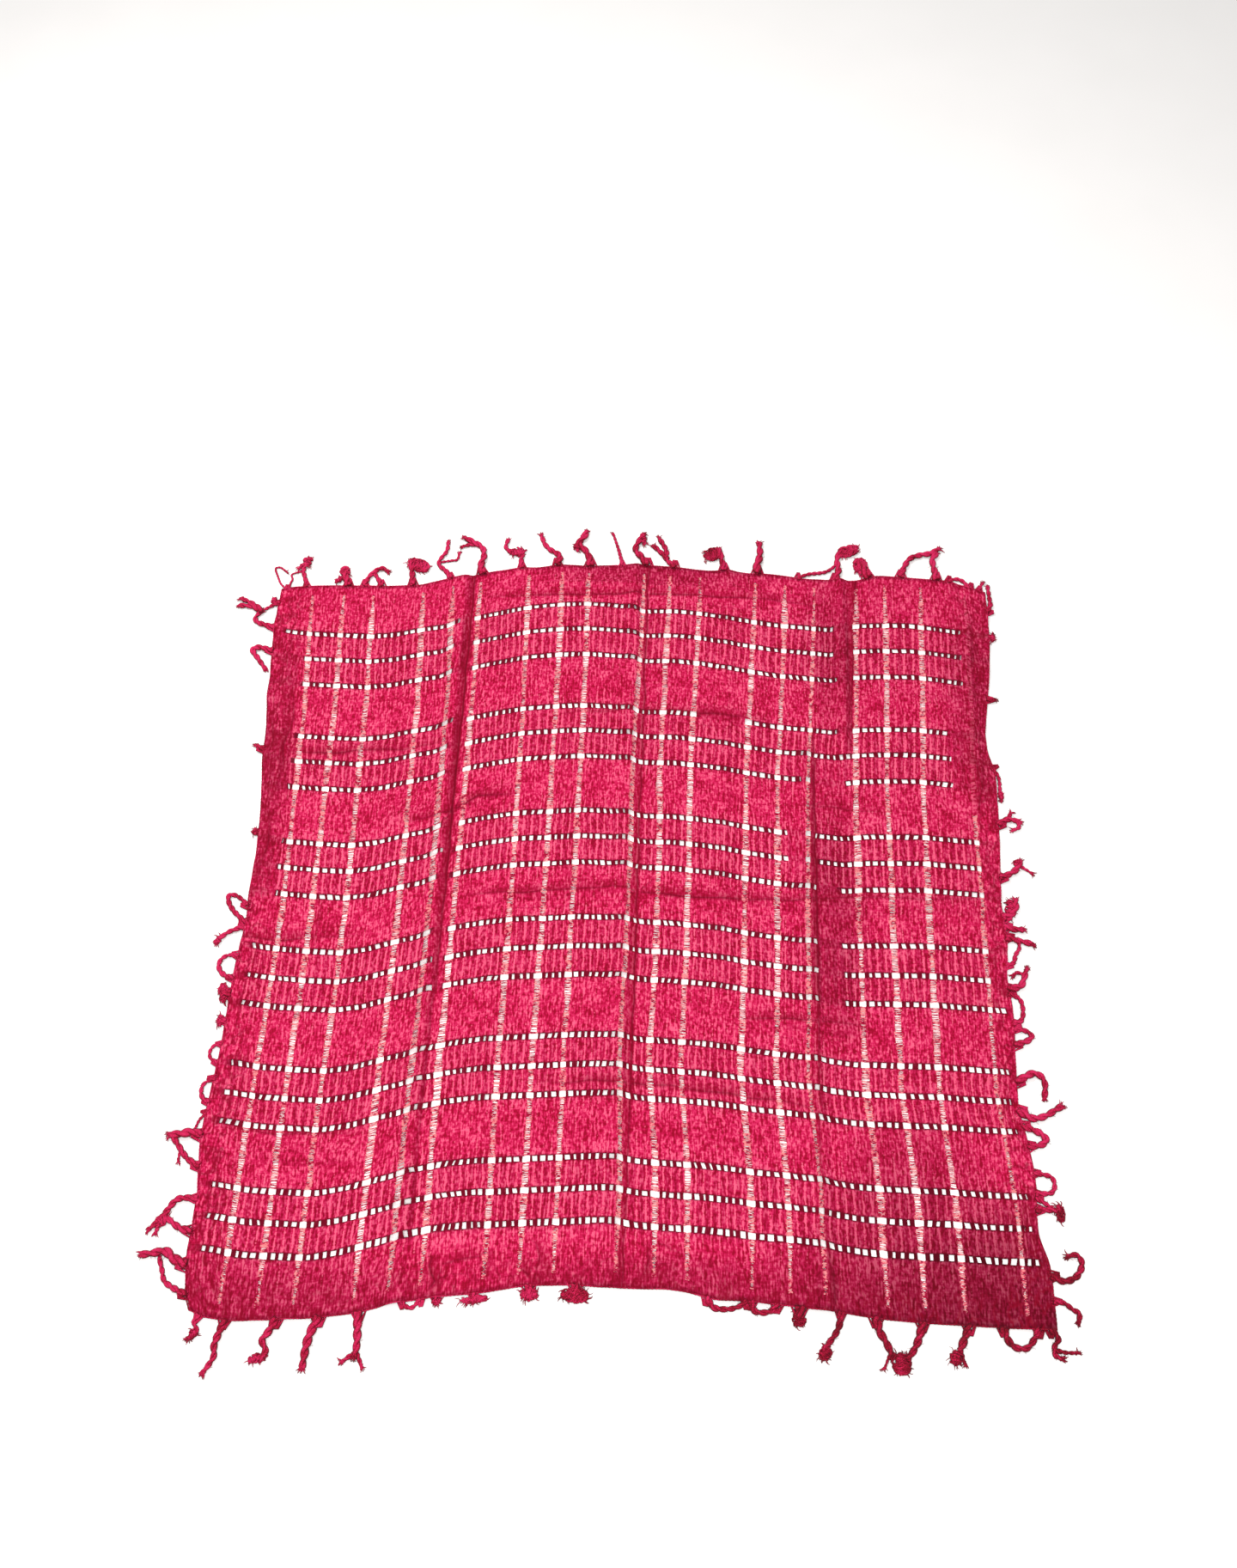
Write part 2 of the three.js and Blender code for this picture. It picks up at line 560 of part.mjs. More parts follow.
// How near to the cloth a strand may start or end: over the strip, and further out where it runs along the edge.
function rootOut(half, alongStep, outStep) {
  return seam + rootClear + (half * Math.abs(alongStep)) / Math.hypot(alongStep, outStep);
}

function strandSolid(place, { at, out, half, route }) {
  const [firstAt, firstOut] = route[0];
  const startOut = out ?? rootOut(half, firstAt - at, firstOut);
  const points = [[at, startOut], ...route];
  const [beforeAt, beforeOut] = points[points.length - 2];
  const [endAt, endOut] = points.pop();
  points.push([endAt, Math.max(endOut, rootOut(half, endAt - beforeAt, endOut - beforeOut))]);
  const plan = points.map(([a, o]) => place(a, o));
  const sides = half < thinHalf ? 3 : 4;
  return strandGeometry(smooth(plan, plan.length - 1), sides, half, half * tipTaper);
}

// A wound or frayed end is a flat lump, blunt at both ends.
function tuftSolid(place, { at, out, long, wide, turn }) {
  const angle = THREE.MathUtils.degToRad(turn);
  const reach = (t) => place(at + Math.cos(angle) * long * t, out + Math.sin(angle) * long * t);
  const run = reach(1).sub(reach(-1)).normalize();
  const rings = tuftShape.map((section) => {
    const middle = reach(section.at);
    const ring = [];
    for (let s = 0; s < tuftSides; s++) {
      const round = -Math.PI / 2 + (2 * Math.PI * s) / tuftSides;
      const across = Math.cos(round) * wide * section.wide;
      const up = tuftHalf * (1 + Math.sin(round) * section.high);
      ring.push([middle.x - run.y * across, middle.y + run.x * across, lift + up]);
    }
    return ring;
  });
  return ringsGeometry(rings);
}

function toSolid(geometry) {
  const merged = mergeVertices(geometry, 1e-4);
  return new wasm.Manifold(
    new wasm.Mesh({
      numProp: 3,
      vertProperties: merged.attributes.position.array,
      triVerts: new Uint32Array(merged.index.array),
    }),
  );
}

function toGeometry(solid) {
  const mesh = solid.getMesh();
  const geometry = new THREE.BufferGeometry();
  geometry.setAttribute("position", new THREE.BufferAttribute(mesh.vertProperties, 3));
  geometry.setIndex(new THREE.BufferAttribute(mesh.triVerts, 1));
  return geometry;
}

// One edge's fringe: the strip with every strand of that edge joined to it at its root.
function fringeGeometry(edge, name) {
  const place = edgeFrame(edge, name);
  const pieces = [
    ...strands[name].map((strand) => strandSolid(place, strand)),
    ...tufts[name].map((tuft) => tuftSolid(place, tuft)),
  ];
  const strip = toSolid(stripGeometry(edge));
  return toGeometry(pieces.reduce((body, piece) => body.add(toSolid(piece)), strip));
}

function clothMaterial() {
  return new THREE.MeshStandardMaterial({ color: 0xd6245a, roughness: 0.9, metalness: 0 });
}

function tasselMaterial() {
  return new THREE.MeshStandardMaterial({ color: 0xc81e50, roughness: 0.95, metalness: 0 });
}

const across = linesAcross();
const deepLines = linesDeep();
const edges = clothEdges(across, deepLines);
const wrap = new THREE.Group();

const cloth = new THREE.Mesh(clothGeometry(across, deepLines), clothMaterial());
cloth.name = "cloth";
wrap.add(cloth);

for (const [name, edge] of Object.entries(edges)) {
  const fringe = new THREE.Mesh(fringeGeometry(edge, name), tasselMaterial());
  fringe.name = "fringe_" + name;
  wrap.add(fringe);
}

// The origin is under the middle of the whole piece, on the floor.
const box = new THREE.Box3().setFromObject(wrap);
const middle = box.getCenter(new THREE.Vector3());
wrap.position.set(-middle.x, -middle.y, -box.min.z);

export default wrap;
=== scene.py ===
import math
import random

import bpy
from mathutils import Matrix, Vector, noise


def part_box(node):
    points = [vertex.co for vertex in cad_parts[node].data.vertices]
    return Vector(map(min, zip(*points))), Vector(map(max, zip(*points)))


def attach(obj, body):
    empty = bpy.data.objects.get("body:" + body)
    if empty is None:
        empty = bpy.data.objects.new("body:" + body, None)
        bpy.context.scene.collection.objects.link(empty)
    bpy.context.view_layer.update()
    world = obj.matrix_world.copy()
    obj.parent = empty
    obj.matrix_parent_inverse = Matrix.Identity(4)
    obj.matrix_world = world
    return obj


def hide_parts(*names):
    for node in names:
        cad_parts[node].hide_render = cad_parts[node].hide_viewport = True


# A square handwoven openwork shawl in deep pink, laid flat, with twisted tassels along all four edges.
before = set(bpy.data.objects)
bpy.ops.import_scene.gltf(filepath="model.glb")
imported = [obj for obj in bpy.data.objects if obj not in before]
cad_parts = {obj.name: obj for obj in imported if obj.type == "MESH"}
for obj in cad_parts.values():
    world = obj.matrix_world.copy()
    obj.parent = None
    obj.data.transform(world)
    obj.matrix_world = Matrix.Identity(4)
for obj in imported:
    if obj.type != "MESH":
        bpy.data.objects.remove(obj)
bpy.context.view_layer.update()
mm = 0.001

# Everything on the shawl is measured in millimetres from the near left corner of the laid square.
# The middle of the laid cloth is what ties that corner to the frame.
shawl = {
    "side": 1000,
    "middle": (496.4, 518.1),
    "underside": 0.5,
    "thick": 0.9,
}


def named(names, *rows):
    # a table with named columns; a row may leave out the last ones
    return [dict(zip(names.split(), row)) for row in rows]


# where the open columns run at the near edge, the middle and the far edge, and the small cells after each
columns = named(
    "near middle far cells open",
    (39, 55, 46, 3, 0.9), (83, 93, 91, 3, 1.0), (125, 137, 133, 6, 1.0), (195, 206, 205, 3, 1.0),
    (235, 247, 247, 2, 1.0), (272, 280, 286, 7, 1.1), (345, 353, 355, 3, 1.0), (386, 396, 403, 3, 1.0),
    (426, 434, 441, 7, 0.85), (499, 505, 517, 3, 0.6), (541, 543, 553, 3, 1.0), (580, 582, 597, 7, 0.95),
    (655, 655, 675, 3, 1.05), (700, 697, 718, 3, 1.0), (739, 736, 761, 6, 0.4), (811, 803, 820, 3, 1.0),
    (855, 846, 861, 3, 1.0), (900, 893, 911, 6, 1.05), (971, 961, 973, 2, 0.45),
)

# three open rows make a group, six groups from near to far
rowGroups = [
    (64, 102, 139.5), (217, 253.5, 291), (370, 408, 447.5), (524, 561.5, 599), (680, 719.5, 758),
    (840, 881.5, 922.5),
]

# how far the rows are pulled away, from left to right: for a near row, a middle one and a far one
rowPull = [
    (0, 11, 7, 6), (20, 9, 6, 3), (55, 3, 2, 0), (90, 2, -1, -1), (135, 1, -3, -3), (170, 8, 2, 0),
    (205, 18, 13, 8), (235, 26, 20, 12), (262, 34, 29, 21), (285, 38, 35, 29), (315, 41, 41, 37),
    (355, 42, 47, 48), (400, 45, 49, 54), (440, 47, 52, 55), (475, 50, 51, 52), (500, 48, 50, 48),
    (520, 44, 45, 41), (560, 41, 44, 43), (600, 40, 40, 39), (635, 37, 35, 32), (660, 34, 30, 28),
    (700, 32, 24, 20), (735, 28, 20, 17), (755, 23, 18, 15), (785, 18, 14, 12), (815, 15, 16, 20),
    (850, 13, 16, 22), (890, 12, 16, 22), (925, 10, 13, 17), (950, 9, 11, 12), (980, 9, 8, 4),
    (1000, 9, 6, 3),
]

# how far the columns sway to the right at each depth, in each of the four panels between the long folds
columnSway = [
    (0, -2, -2, 0.6, 0), (130, -2, -2.2, 0.6, 0.1), (265, -1.9, -3.4, -9, -8), (400, 0, -2, -2.6, -4.2),
    (535, 0.6, -1, -0.2, -1.7), (670, 1.4, -0.5, -3.2, -3.8), (810, 2.6, 0, 0.2, -0.5),
    (940, -1.2, -1.4, 2.5, 0.8), (1000, -2, -1, 2.5, 0.8),
]
panelEnds = (262, 505, 745)
panelSoft = 15  # one panel's sway turns into the next over twice this

# the laid edges: near and far from left to right, left and right from near to far
nearEdge = [
    (0, 6), (14, -4), (50, -9), (150, -4), (200, 3), (240, 14), (290, 22), (340, 27), (390, 36),
    (440, 38), (500, 35), (560, 35), (585, 31), (610, 24), (650, 23), (700, 18), (750, 13), (800, 6),
    (850, 2), (900, 0), (950, -2), (1000, -3),
]
farEdge = [
    (0, 998), (20, 1001), (50, 1005), (150, 1005), (200, 1007), (240, 1019), (262, 1020), (290, 1028),
    (340, 1038), (368, 1038), (395, 1044), (440, 1041), (500, 1044), (560, 1041), (610, 1034),
    (640, 1036), (666, 1030), (700, 1029), (750, 1021), (790, 1019), (820, 1018), (850, 1028),
    (880, 1026), (950, 1020), (1000, 1000),
]
leftEdge = [
    (0, 5), (14, -3), (60, -9), (130, -5), (200, -11), (250, -7), (310, -1), (370, 1), (420, 3),
    (470, 10), (520, 9), (590, 12), (650, 10), (715, 4), (770, 3), (830, -2), (850, -1), (935, -5),
    (980, -2), (1000, -1),
]
rightEdge = [
    (0, 1003), (60, 1003), (95, 992), (130, 992), (160, 995), (200, 991), (250, 982), (310, 984),
    (370, 987), (420, 983), (470, 988), (520, 984), (590, 989), (650, 992), (715, 993), (730, 986),
    (770, 984), (850, 996), (900, 1001), (935, 1003), (1000, 1003),
]
edgeRounding = 8

clothLow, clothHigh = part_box("cloth")
shiftX = (clothLow[0] + clothHigh[0]) / 2 - shawl["middle"][0] * mm
shiftY = (clothLow[1] + clothHigh[1]) / 2 - shawl["middle"][1] * mm


def lerp(a, b, t):
    return a + (b - a) * t


def smoothStep(t):
    t = min(1, max(0, t))
    return t * t * (3 - 2 * t)


def wave(x, y, pattern):
    # Smooth chance round nought, the same in every run. The last number only picks another pattern, and so
    # does a number that a column's or row's count is multiplied by.
    return noise.noise(Vector((x, y, pattern)))


def readTable(table, at):
    if at <= table[0][0]:
        return table[0][1]
    for (a, low), (b, high) in zip(table, table[1:]):
        if at <= b:
            return lerp(low, high, (at - a) / (b - a))
    return table[-1][1]


def softTable(table, at):
    # a little rounding where two stretches of a table meet
    before = readTable(table, at - edgeRounding)
    return (before + readTable(table, at) * 2 + readTable(table, at + edgeRounding)) / 4


def readRow(table, at):
    # a table with several values in each row
    for (a, *low), (b, *high) in zip(table, table[1:]):
        if at <= b:
            t = min(1, max(0, (at - a) / (b - a)))
            return [lerp(x, y, t) for x, y in zip(low, high)]
    return table[-1][1:]


def threeShares(values, t):
    low, middle, high = values
    return lerp(low, middle, t * 2) if t < 0.5 else lerp(middle, high, t * 2 - 1)


def threePlaces(line, deep):
    return threeShares((line["near"], line["middle"], line["far"]), deep / shawl["side"])


def toFrame(x, y, z):
    return Vector((x * mm + shiftX, y * mm + shiftY, z * mm))


def deselectAll():
    if bpy.context.object and bpy.context.object.mode != "OBJECT":
        bpy.ops.object.mode_set(mode="OBJECT")
    bpy.ops.object.select_all(action="DESELECT")


# Folds. A long crease runs from near to far. Its top lies at the places near, middle and far, left and right
# are how wide its sides are, and the right one is the steep one.
longCreases = named(
    "near middle far high left right from to",
    (243, 254, 262, 8.5, 26, 12, -60, 1060), (494, 499, 509, 6, 24, 11, -40, 1060),
    (744, 739, 744, 6, 22, 12, -60, 770), (790, 790, 798, 8, 20, 12, 700, 1120),
    (106, 108, 108, 3.5, 8, 5, 450, 525), (428, 430, 430, 3, 9, 5, 480, 560),
    (25, 26, 24, 4.5, 16, 9, 500, 930), (968, 966, 968, 4.5, 10, 15, 630, 980),
    (330, 326, 318, 2.2, 16, 16, 0, 420), (615, 625, 640, 2.2, 18, 12, 300, 1050),
)

# Cross creases follow the weave: start and end are how deep the top lies at its left and right end, and near
# and far are how wide its sides are.
crossCreases = named(
    "start end from to high near far",
    (184, 176, 40, 205, 5, 12, 22), (182, 176, 400, 700, 3.5, 14, 24), (232, 236, 410, 670, 3, 6, 14),
    (336, 330, 640, 815, 6.5, 8, 20), (322, 330, 300, 520, 2.5, 14, 20), (470, 478, -20, 165, 4, 8, 18),
    (474, 488, 290, 520, 5.5, 8, 20), (488, 500, 500, 1000, 5.5, 9, 22),
    (622, 636, 150, 380, 5.5, 9, 20), (640, 634, 440, 660, 2.2, 12, 18), (652, 660, 735, 830, 5, 7, 16),
    (742, 740, 20, 215, 4, 8, 16), (766, 764, 560, 690, 5, 7, 15), (800, 806, 830, 1000, 3, 12, 20),
    (805, 800, 270, 540, 3, 14, 24), (962, 966, 360, 720, 4, 12, 12), (30, 26, 500, 640, 3.5, 10, 14),
)

# tassels that were folded under the near edge lift it a little
tuckedUnder = named(
    "at deep wide long high",
    (280, 26, 13, 20, 3.2), (345, 22, 14, 19, 3.2), (397, 12, 15, 15, 3.0), (548, 20, 20, 14, 2.6),
    (742, 22, 12, 22, 2.8),
)

folds = {
    "longFade": 55,  # how softly a long and a cross crease begin and end
    "crossFade": 45,
    "steady": 0.8,  # a long crease's height, and how much it comes and goes along it
    "waver": 0.35,
    "waverSize": 60,
    "wander": 4,  # a cross crease strays this far from its line
    "wanderSize": 45,
    "full": 9,  # a cross crease is gone where a long one is this high
    "lumpRound": 0.6,
}
ripple = {
    "broad": 1.0,
    "broadSize": 85,
    "broadRise": 0.25,
    "fine": 0.6,
    "fineSize": 17,
    "fineStretch": 1.6,
    "crumple": 5,
    "crumpleSize": 26,
}
border = {"wide": 50, "rightFrom": 940, "soft": 35}


def borderShare(x, deep):
    # the crumpled strips along the left, right and near edges
    left = smoothStep((border["wide"] - x) / border["soft"])
    right = smoothStep((x - border["rightFrom"]) / border["soft"])
    return min(1, left + right + smoothStep((border["wide"] - deep) / border["wide"]))


def creaseSide(away, before, after):
    # one at the crest, down to nothing on both sides
    width = before if away < 0 else after
    t = min(1, abs(away) / width)
    return (1 - t) * (1 - t) * (1 + 2 * t)


def fadeAlong(at, start, end, soft):
    return smoothStep((at - start) / soft) * smoothStep((end - at) / soft)


def longFold(x, deep):
    high = 0
    for crease in longCreases:
        away = x - threePlaces(crease, deep)
        if -crease["left"] < away < crease["right"]:
            share = fadeAlong(deep, crease["from"], crease["to"], folds["longFade"])
            waver = folds["steady"] + folds["waver"] * wave(crease["near"], deep / folds["waverSize"], 3)
            side = creaseSide(away, crease["left"], crease["right"])
            high = max(high, crease["high"] * share * waver * side)
    return high


def crossFold(x, deep):
    high = 0
    for crease in crossCreases:
        if crease["from"] < x < crease["to"]:
            t = (x - crease["from"]) / (crease["to"] - crease["from"])
            wander = folds["wander"] * wave(x / folds["wanderSize"], crease["start"], 7)
            away = deep - lerp(crease["start"], crease["end"], t) - wander
            if -crease["near"] < away < crease["far"]:
                share = fadeAlong(x, crease["from"], crease["to"], folds["crossFade"])
                high = max(high, crease["high"] * share * creaseSide(away, crease["near"], crease["far"]))
    return high


def tuckedLump(x, deep):
    high = 0
    for tassel in tuckedUnder:
        across = (x - tassel["at"]) / tassel["wide"]
        along = (deep - tassel["deep"]) / tassel["long"]
        reach = across * across + along * along
        if reach < 1:
            high = max(high, tassel["high"] * (1 - reach) ** folds["lumpRound"])
    return high


def relief(x, deep):
    fold = longFold(x, deep)
    high = fold + crossFold(x, deep) * (1 - min(1, fold / folds["full"])) + tuckedLump(x, deep)
    size = ripple["broadSize"]
    broad = max(0, wave(x / size, deep / size, 1.7) + ripple["broadRise"])
    size = ripple["fineSize"]
    fine = 0.5 + wave(x / size, deep / (size * ripple["fineStretch"]), 9.1)
    size = ripple["crumpleSize"]
    crumple = abs(wave(x / size, deep / size, 4.4)) * (ripple["crumple"] * borderShare(x, deep))
    return high + crumple + ripple["broad"] * broad + ripple["fine"] * fine


# The weave's own lines
weave = {
    "crossing": 10.4,  # an open column where an open row crosses it
    "crossingPast": 0.3,  # and this far past the row
    "column": 7.2,  # the same column between the rows, held narrow by its ladder threads
    "cellShare": 5.7,  # an open cell against the bundle of threads beside it
    "bundleShare": 3.3,
    "rowDeep": 6.4,
    "rim": 2.1,  # a row's edge threads
    "borderClosed": 14,  # the columns stop this short of the near and far edges
    "looseWide": 1.0,  # chance differences between cells
    "looseAt": 0.7,
    "looseDeep": 0.5,
    "lean": 1.5,
    "leanSize": 45,
    "round": 0.7,
    "sink": 0.25,  # a cell's middle lies a little low, and its rims and the edges a little high
    "rise": 0.3,
    "linesFirst": 7,  # lines of weave before the first row, between groups and between rows
    "linesApart": 9,
    "linesInner": 3,
}

# the left border before its first cells, and the right one after its last, as shares of their width
borderCells = {"count": 3, "start": 0.30, "end": 0.74, "left": (0.04, 0.12, 0.2), "right": (0.84, 0.94)}

# places where folds or crumpled cloth close the openings; columns, where the columns close too
closedZones = named(
    "x deep columns",
    ((257, 279), (560, 1000)), ((254, 270), (330, 560)), ((712, 748), (540, 610)),
    ((746, 776), (360, 530)), ((732, 790), (660, 700)), ((786, 812), (740, 1000)),
    ((-20, 42), (500, 905)), ((962, 1020), (380, 640), True), ((935, 1020), (640, 800), True),
    ((960, 1020), (800, 1000), True), ((596, 668), (750, 775)),
)

# how a column strays and how its width changes along it
sway = {"by": 1.2, "size": 45}
looseness = {"least": 0.92, "by": 0.36, "size": 75, "waver": 0.3, "long": 24, "short": 7}
narrowing = {"from": 8, "over": 60, "share": 0.4}


def columnX(k, deep):
    # the left edge is before the first column and the right edge is after the last
    if k < 0:
        return softTable(leftEdge, deep)
    if k >= len(columns):
        return softTable(rightEdge, deep)
    waver = sway["by"] * wave(k * 7.3, deep / sway["size"], 0)
    place = threePlaces(columns[k], deep)
    panels = readRow(columnSway, deep)
    shift = panels[0]
    for end, before, after in zip(panelEnds, panels, panels[1:]):
        shift += (after - before) * smoothStep((place - end + panelSoft) / (2 * panelSoft))
    return place + waver + shift


def rowNear(deep):
    return min((abs(row - deep), row) for group in rowGroups for row in group)[1]


def halfColumn(k, deep):
    if k < 0 or k >= len(columns):
        return 0
    loose = looseness["least"] + looseness["by"] * wave(k * 9.1, deep / looseness["size"], 6)
    wide = columns[k]["open"] ** 0.5 * loose
    if abs(deep - rowNear(deep)) < weave["rowDeep"] / 2 + weave["crossingPast"]:
        return weave["crossing"] * wide / 2
    inside = smoothStep((min(deep, shawl["side"] - deep) - narrowing["from"]) / narrowing["over"])
    long = looseness["waver"] * wave(k * 3.1, deep / looseness["long"], 5)
    short = looseness["waver"] * wave(k * 5.3, deep / looseness["short"], 2)
    return weave["column"] * wide * (1 + long + short) * lerp(narrowing["share"], 1, inside) / 2


def acrossLines():
    # each line lies at a share of the stretch between two columns; a column has a line on each side
    lines = []

    def add(after, share, kind):
        lines.append({"after": after, "share": share, "kind": kind})

    last = len(columns) - 1
    add(-1, 0, "edge")
    for k in range(-1, len(columns)):
        cells = borderCells["count"] if k < 0 else columns[k]["cells"]
        start = borderCells["start"] if k < 0 else 0
        end = borderCells["end"] if k == last else 1
        for share in {-1: borderCells["left"], last: borderCells["right"]}.get(k, ()):
            add(k, share, "plain")
        whole = cells * weave["cellShare"] + (cells + 1) * weave["bundleShare"]
        wide = weave["cellShare"] / whole
        at = weave["bundleShare"] / whole
        for _ in range(cells):
            for part, kind in ((0, "cellLeft"), (0.5, "cellMiddle"), (1, "cellRight")):
                add(k, lerp(start, end, at + part * wide), kind)
            at += wide + weave["bundleShare"] / whole
        if k < last:
            add(k, 1, "columnLeft")
            add(k + 1, 0, "columnRight")
    add(last, 1, "edge")
    return sorted(lines, key=lambda line: (line["after"], line["share"]))


def deepLines():
    half = weave["rowDeep"] / 2
    reach = half + weave["rim"]
    lines = [{"deep": 0, "kind": "edge", "row": -1}]

    def plain(start, end, count, kind="plain"):
        for n in range(count):
            lines.append({"deep": lerp(start, end, (n + 1) / (count + 1)), "kind": kind, "row": -1})

    before = 0
    for row, deep in enumerate(deep for group in rowGroups for deep in group):
        if row == 0:
            plain(0, deep - reach, weave["linesFirst"])
        elif row % 3 == 0:
            plain(before + reach, deep - reach, weave["linesApart"])
        else:
            plain(before + reach, deep - reach, weave["linesInner"], "inner")
        for step, kind in ((-reach, "rim"), (-half, "rowEdge"), (half, "rowEdge"), (reach, "rim")):
            lines.append({"deep": deep + step, "kind": kind, "row": row})
        before = deep
    plain(before + reach, shawl["side"], weave["linesApart"])
    return lines + [{"deep": shawl["side"], "kind": "edge", "row": -1}]


def lineX(line, deep):
    k = line["after"]
    start = columnX(k, deep) + halfColumn(k, deep)
    end = columnX(k + 1, deep) - halfColumn(k + 1, deep)
    return lerp(start, end, line["share"])


def rowShift(x, deep):
    # read 5 mm to each side too, which rounds the table off
    t = deep / shawl["side"]
    return sum(threeShares(readRow(rowPull, x + step), t) for step in (-5, 0, 5)) / 3


def pulled(x, deep):
    # where the weave at x and deep lies on the floor, between the laid near and far edges
    firstRow, lastRow = rowGroups[0][0], rowGroups[-1][-1]
    if deep < firstRow:
        return lerp(softTable(nearEdge, x), firstRow + rowShift(x, firstRow), deep / firstRow)
    if deep > lastRow:
        lastIn = lastRow + rowShift(x, lastRow)
        return lerp(lastIn, softTable(farEdge, x), (deep - lastRow) / (shawl["side"] - lastRow))
    return deep + rowShift(x, deep)


def laidPoint(x, deep, up):
    return toFrame(x, pulled(x, deep), relief(x, deep) + shawl["underside"] + up)


def inClosedZone(x, deep, forColumn=False):
    for zone in closedZones:
        if zone["x"][0] < x < zone["x"][1] and zone["deep"][0] < deep < zone["deep"][1]:
            return not forColumn or "columns" in zone
    return False


# Dark lines where the cloth is creased. Each route has places on the laid shawl and how dark it is there.
# The shade is soft on the left of the route and ends sharply on the right.
shadeLines = [
    [(252, 110, 0.2), (256, 300, 0.35), (262, 430, 0.55), (265, 540, 0.85), (267, 650, 1), (272, 850, 1),
     (276, 1020, 0.9)],
    [(505, 40, 0.6), (509, 200, 0.7), (513, 400, 0.85), (516, 600, 0.8), (520, 800, 0.7), (524, 1040, 0.7)],
    [(752, 20, 0.5), (742, 100, 0.4), (740, 240, 0.5), (747, 500, 0.85), (750, 700, 0.8), (752, 780, 0.3)],
    [(800, 740, 0.2), (808, 850, 0.75), (820, 1020, 0.95)],
    [(292, 528, 0.2), (360, 530, 0.7), (480, 540, 0.45), (560, 528, 0.8), (700, 522, 0.6), (800, 530, 0.5),
     (985, 528, 0.2)],
    [(40, 736, 0.2), (90, 732, 0.75), (190, 740, 0.5), (250, 752, 0.2)],
    [(200, 630, 0.1), (262, 645, 0.7), (300, 668, 0.8), (350, 674, 0.1)],
    [(-5, 465, 0.3), (60, 462, 0.75), (160, 470, 0.1)],
    [(400, 280, 0.2), (480, 282, 0.7), (560, 276, 0.5), (680, 262, 0.6), (760, 250, 0.1)],
    [(640, 366, 0.2), (700, 362, 0.75), (800, 358, 0.2)],
    [(20, 222, 0.2), (80, 210, 0.6), (190, 214, 0.1)],
    [(410, 800, 0.2), (500, 806, 0.55), (600, 800, 0.7), (690, 790, 0.2)],
    [(735, 660, 0.3), (790, 656, 0.5), (850, 652, 0.1)],
    [(104, 450, 0.1), (104, 490, 0.35), (105, 528, 0.1)],
    [(432, 520, 0.1), (430, 545, 0.35), (430, 580, 0.1)],
    [(300, 988, 0.2), (400, 992, 0.65), (560, 994, 0.7), (700, 985, 0.5), (760, 975, 0.2)],
    [(18, 540, 0.2), (26, 600, 0.7), (20, 660, 0.2)],
    [(38, 690, 0.2), (28, 740, 0.8), (40, 790, 0.6), (30, 850, 0.1)],
    [(6, 700, 0.2), (14, 750, 0.6), (8, 800, 0.2)],
    [(284, 72, 0.5), (278, 55, 0.9), (290, 36, 0.8), (280, 30, 0.2)],
    [(345, 76, 0.6), (342, 56, 0.9), (348, 40, 0.4)], [(292, 60, 0.3), (316, 66, 0.55), (340, 70, 0.3)],
    [(384, 56, 0.3), (394, 50, 0.8), (410, 42, 0.3)], [(400, 92, 0.2), (408, 72, 0.6), (404, 50, 0.2)],
    [(530, 84, 0.2), (536, 66, 0.7), (530, 48, 0.3)], [(528, 84, 0.2), (552, 86, 0.4), (580, 74, 0.1)],
    [(960, 640, 0.2), (975, 690, 0.6), (965, 740, 0.5), (975, 800, 0.2)],
]
shadeReach = 20
shadeWander = {"by": 3, "size": 34}

# broad patches of painted shade, darkest at the near right corner: the middle, how far they reach and how
# dark
shadePatches = named(
    "x y wide long dark",
    (980, -30, 400, 190, 1), (850, 70, 120, 190, 0.5), (560, -5, 280, 85, 0.55),
    (560, 1050, 230, 50, 0.45), (0, 700, 55, 230, 0.4), (1000, 820, 75, 190, 0.4),
    (770, 500, 48, 200, 0.4), (780, 900, 45, 150, 0.35), (100, -10, 260, 90, 0.45),
)
patchRound = 0.8


def paintedShadeTone(x, y):
    tone = 0
    for paintedShade in shadePatches:
        across = (x - paintedShade["x"]) / paintedShade["wide"]
        along = (y - paintedShade["y"]) / paintedShade["long"]
        far = across * across + along * along
        if far < 1:
            tone = max(tone, paintedShade["dark"] * (1 - far) ** patchRound)
    return tone


def nearestCrease(x, y):
    # how far the nearest dark line is, plus on its left, as a share of the reach, and how dark it is
    best = (1, 0)
    for route in shadeLines:
        for (ax, ay, darkA), (bx, by, darkB) in zip(route, route[1:]):
            inX = min(ax, bx) - shadeReach < x < max(ax, bx) + shadeReach
            if not inX or not min(ay, by) - shadeReach < y < max(ay, by) + shadeReach:
                continue
            runX, runY = bx - ax, by - ay
            length = math.hypot(runX, runY)
            t = ((x - ax) * runX + (y - ay) * runY) / (length * length)
            # a little past both ends, so that the stretches of a route meet
            if -0.05 < t < 1.05:
                side = (runX * (y - ay) - runY * (x - ax)) / length
                wander = shadeWander["by"] * wave(x / shadeWander["size"], y / shadeWander["size"], 8)
                side = (side + wander) / shadeReach
                if abs(side) < abs(best[0]):
                    best = (side, lerp(darkA, darkB, min(1, max(0, t))))
    return best


# marks that the cloth's material reads: how pale the slits between threads show, and how dark the rims are,
# as thicker, darker threads deepened with painted shade
slits = {
    "besideRow": 1.15,
    "besideChance": 0.4,
    "plainNear": 1.1,
    "plainFar": 0.65,
    "plainFade": 34,
    "plainChance": 0.5,
    "chanceSize": 22,
    "column": 0.3,
    "closedCell": 0.8,
    "closedColumn": 2.6,
    "closedPlain": 0.4,
}
rims = {"edge": 0.7, "bundle": 0.3, "closed": 0.3, "cell": 1, "besideCell": 0.74}
cellSides = {"cellLeft": -1, "cellMiddle": 0, "cellRight": 1}


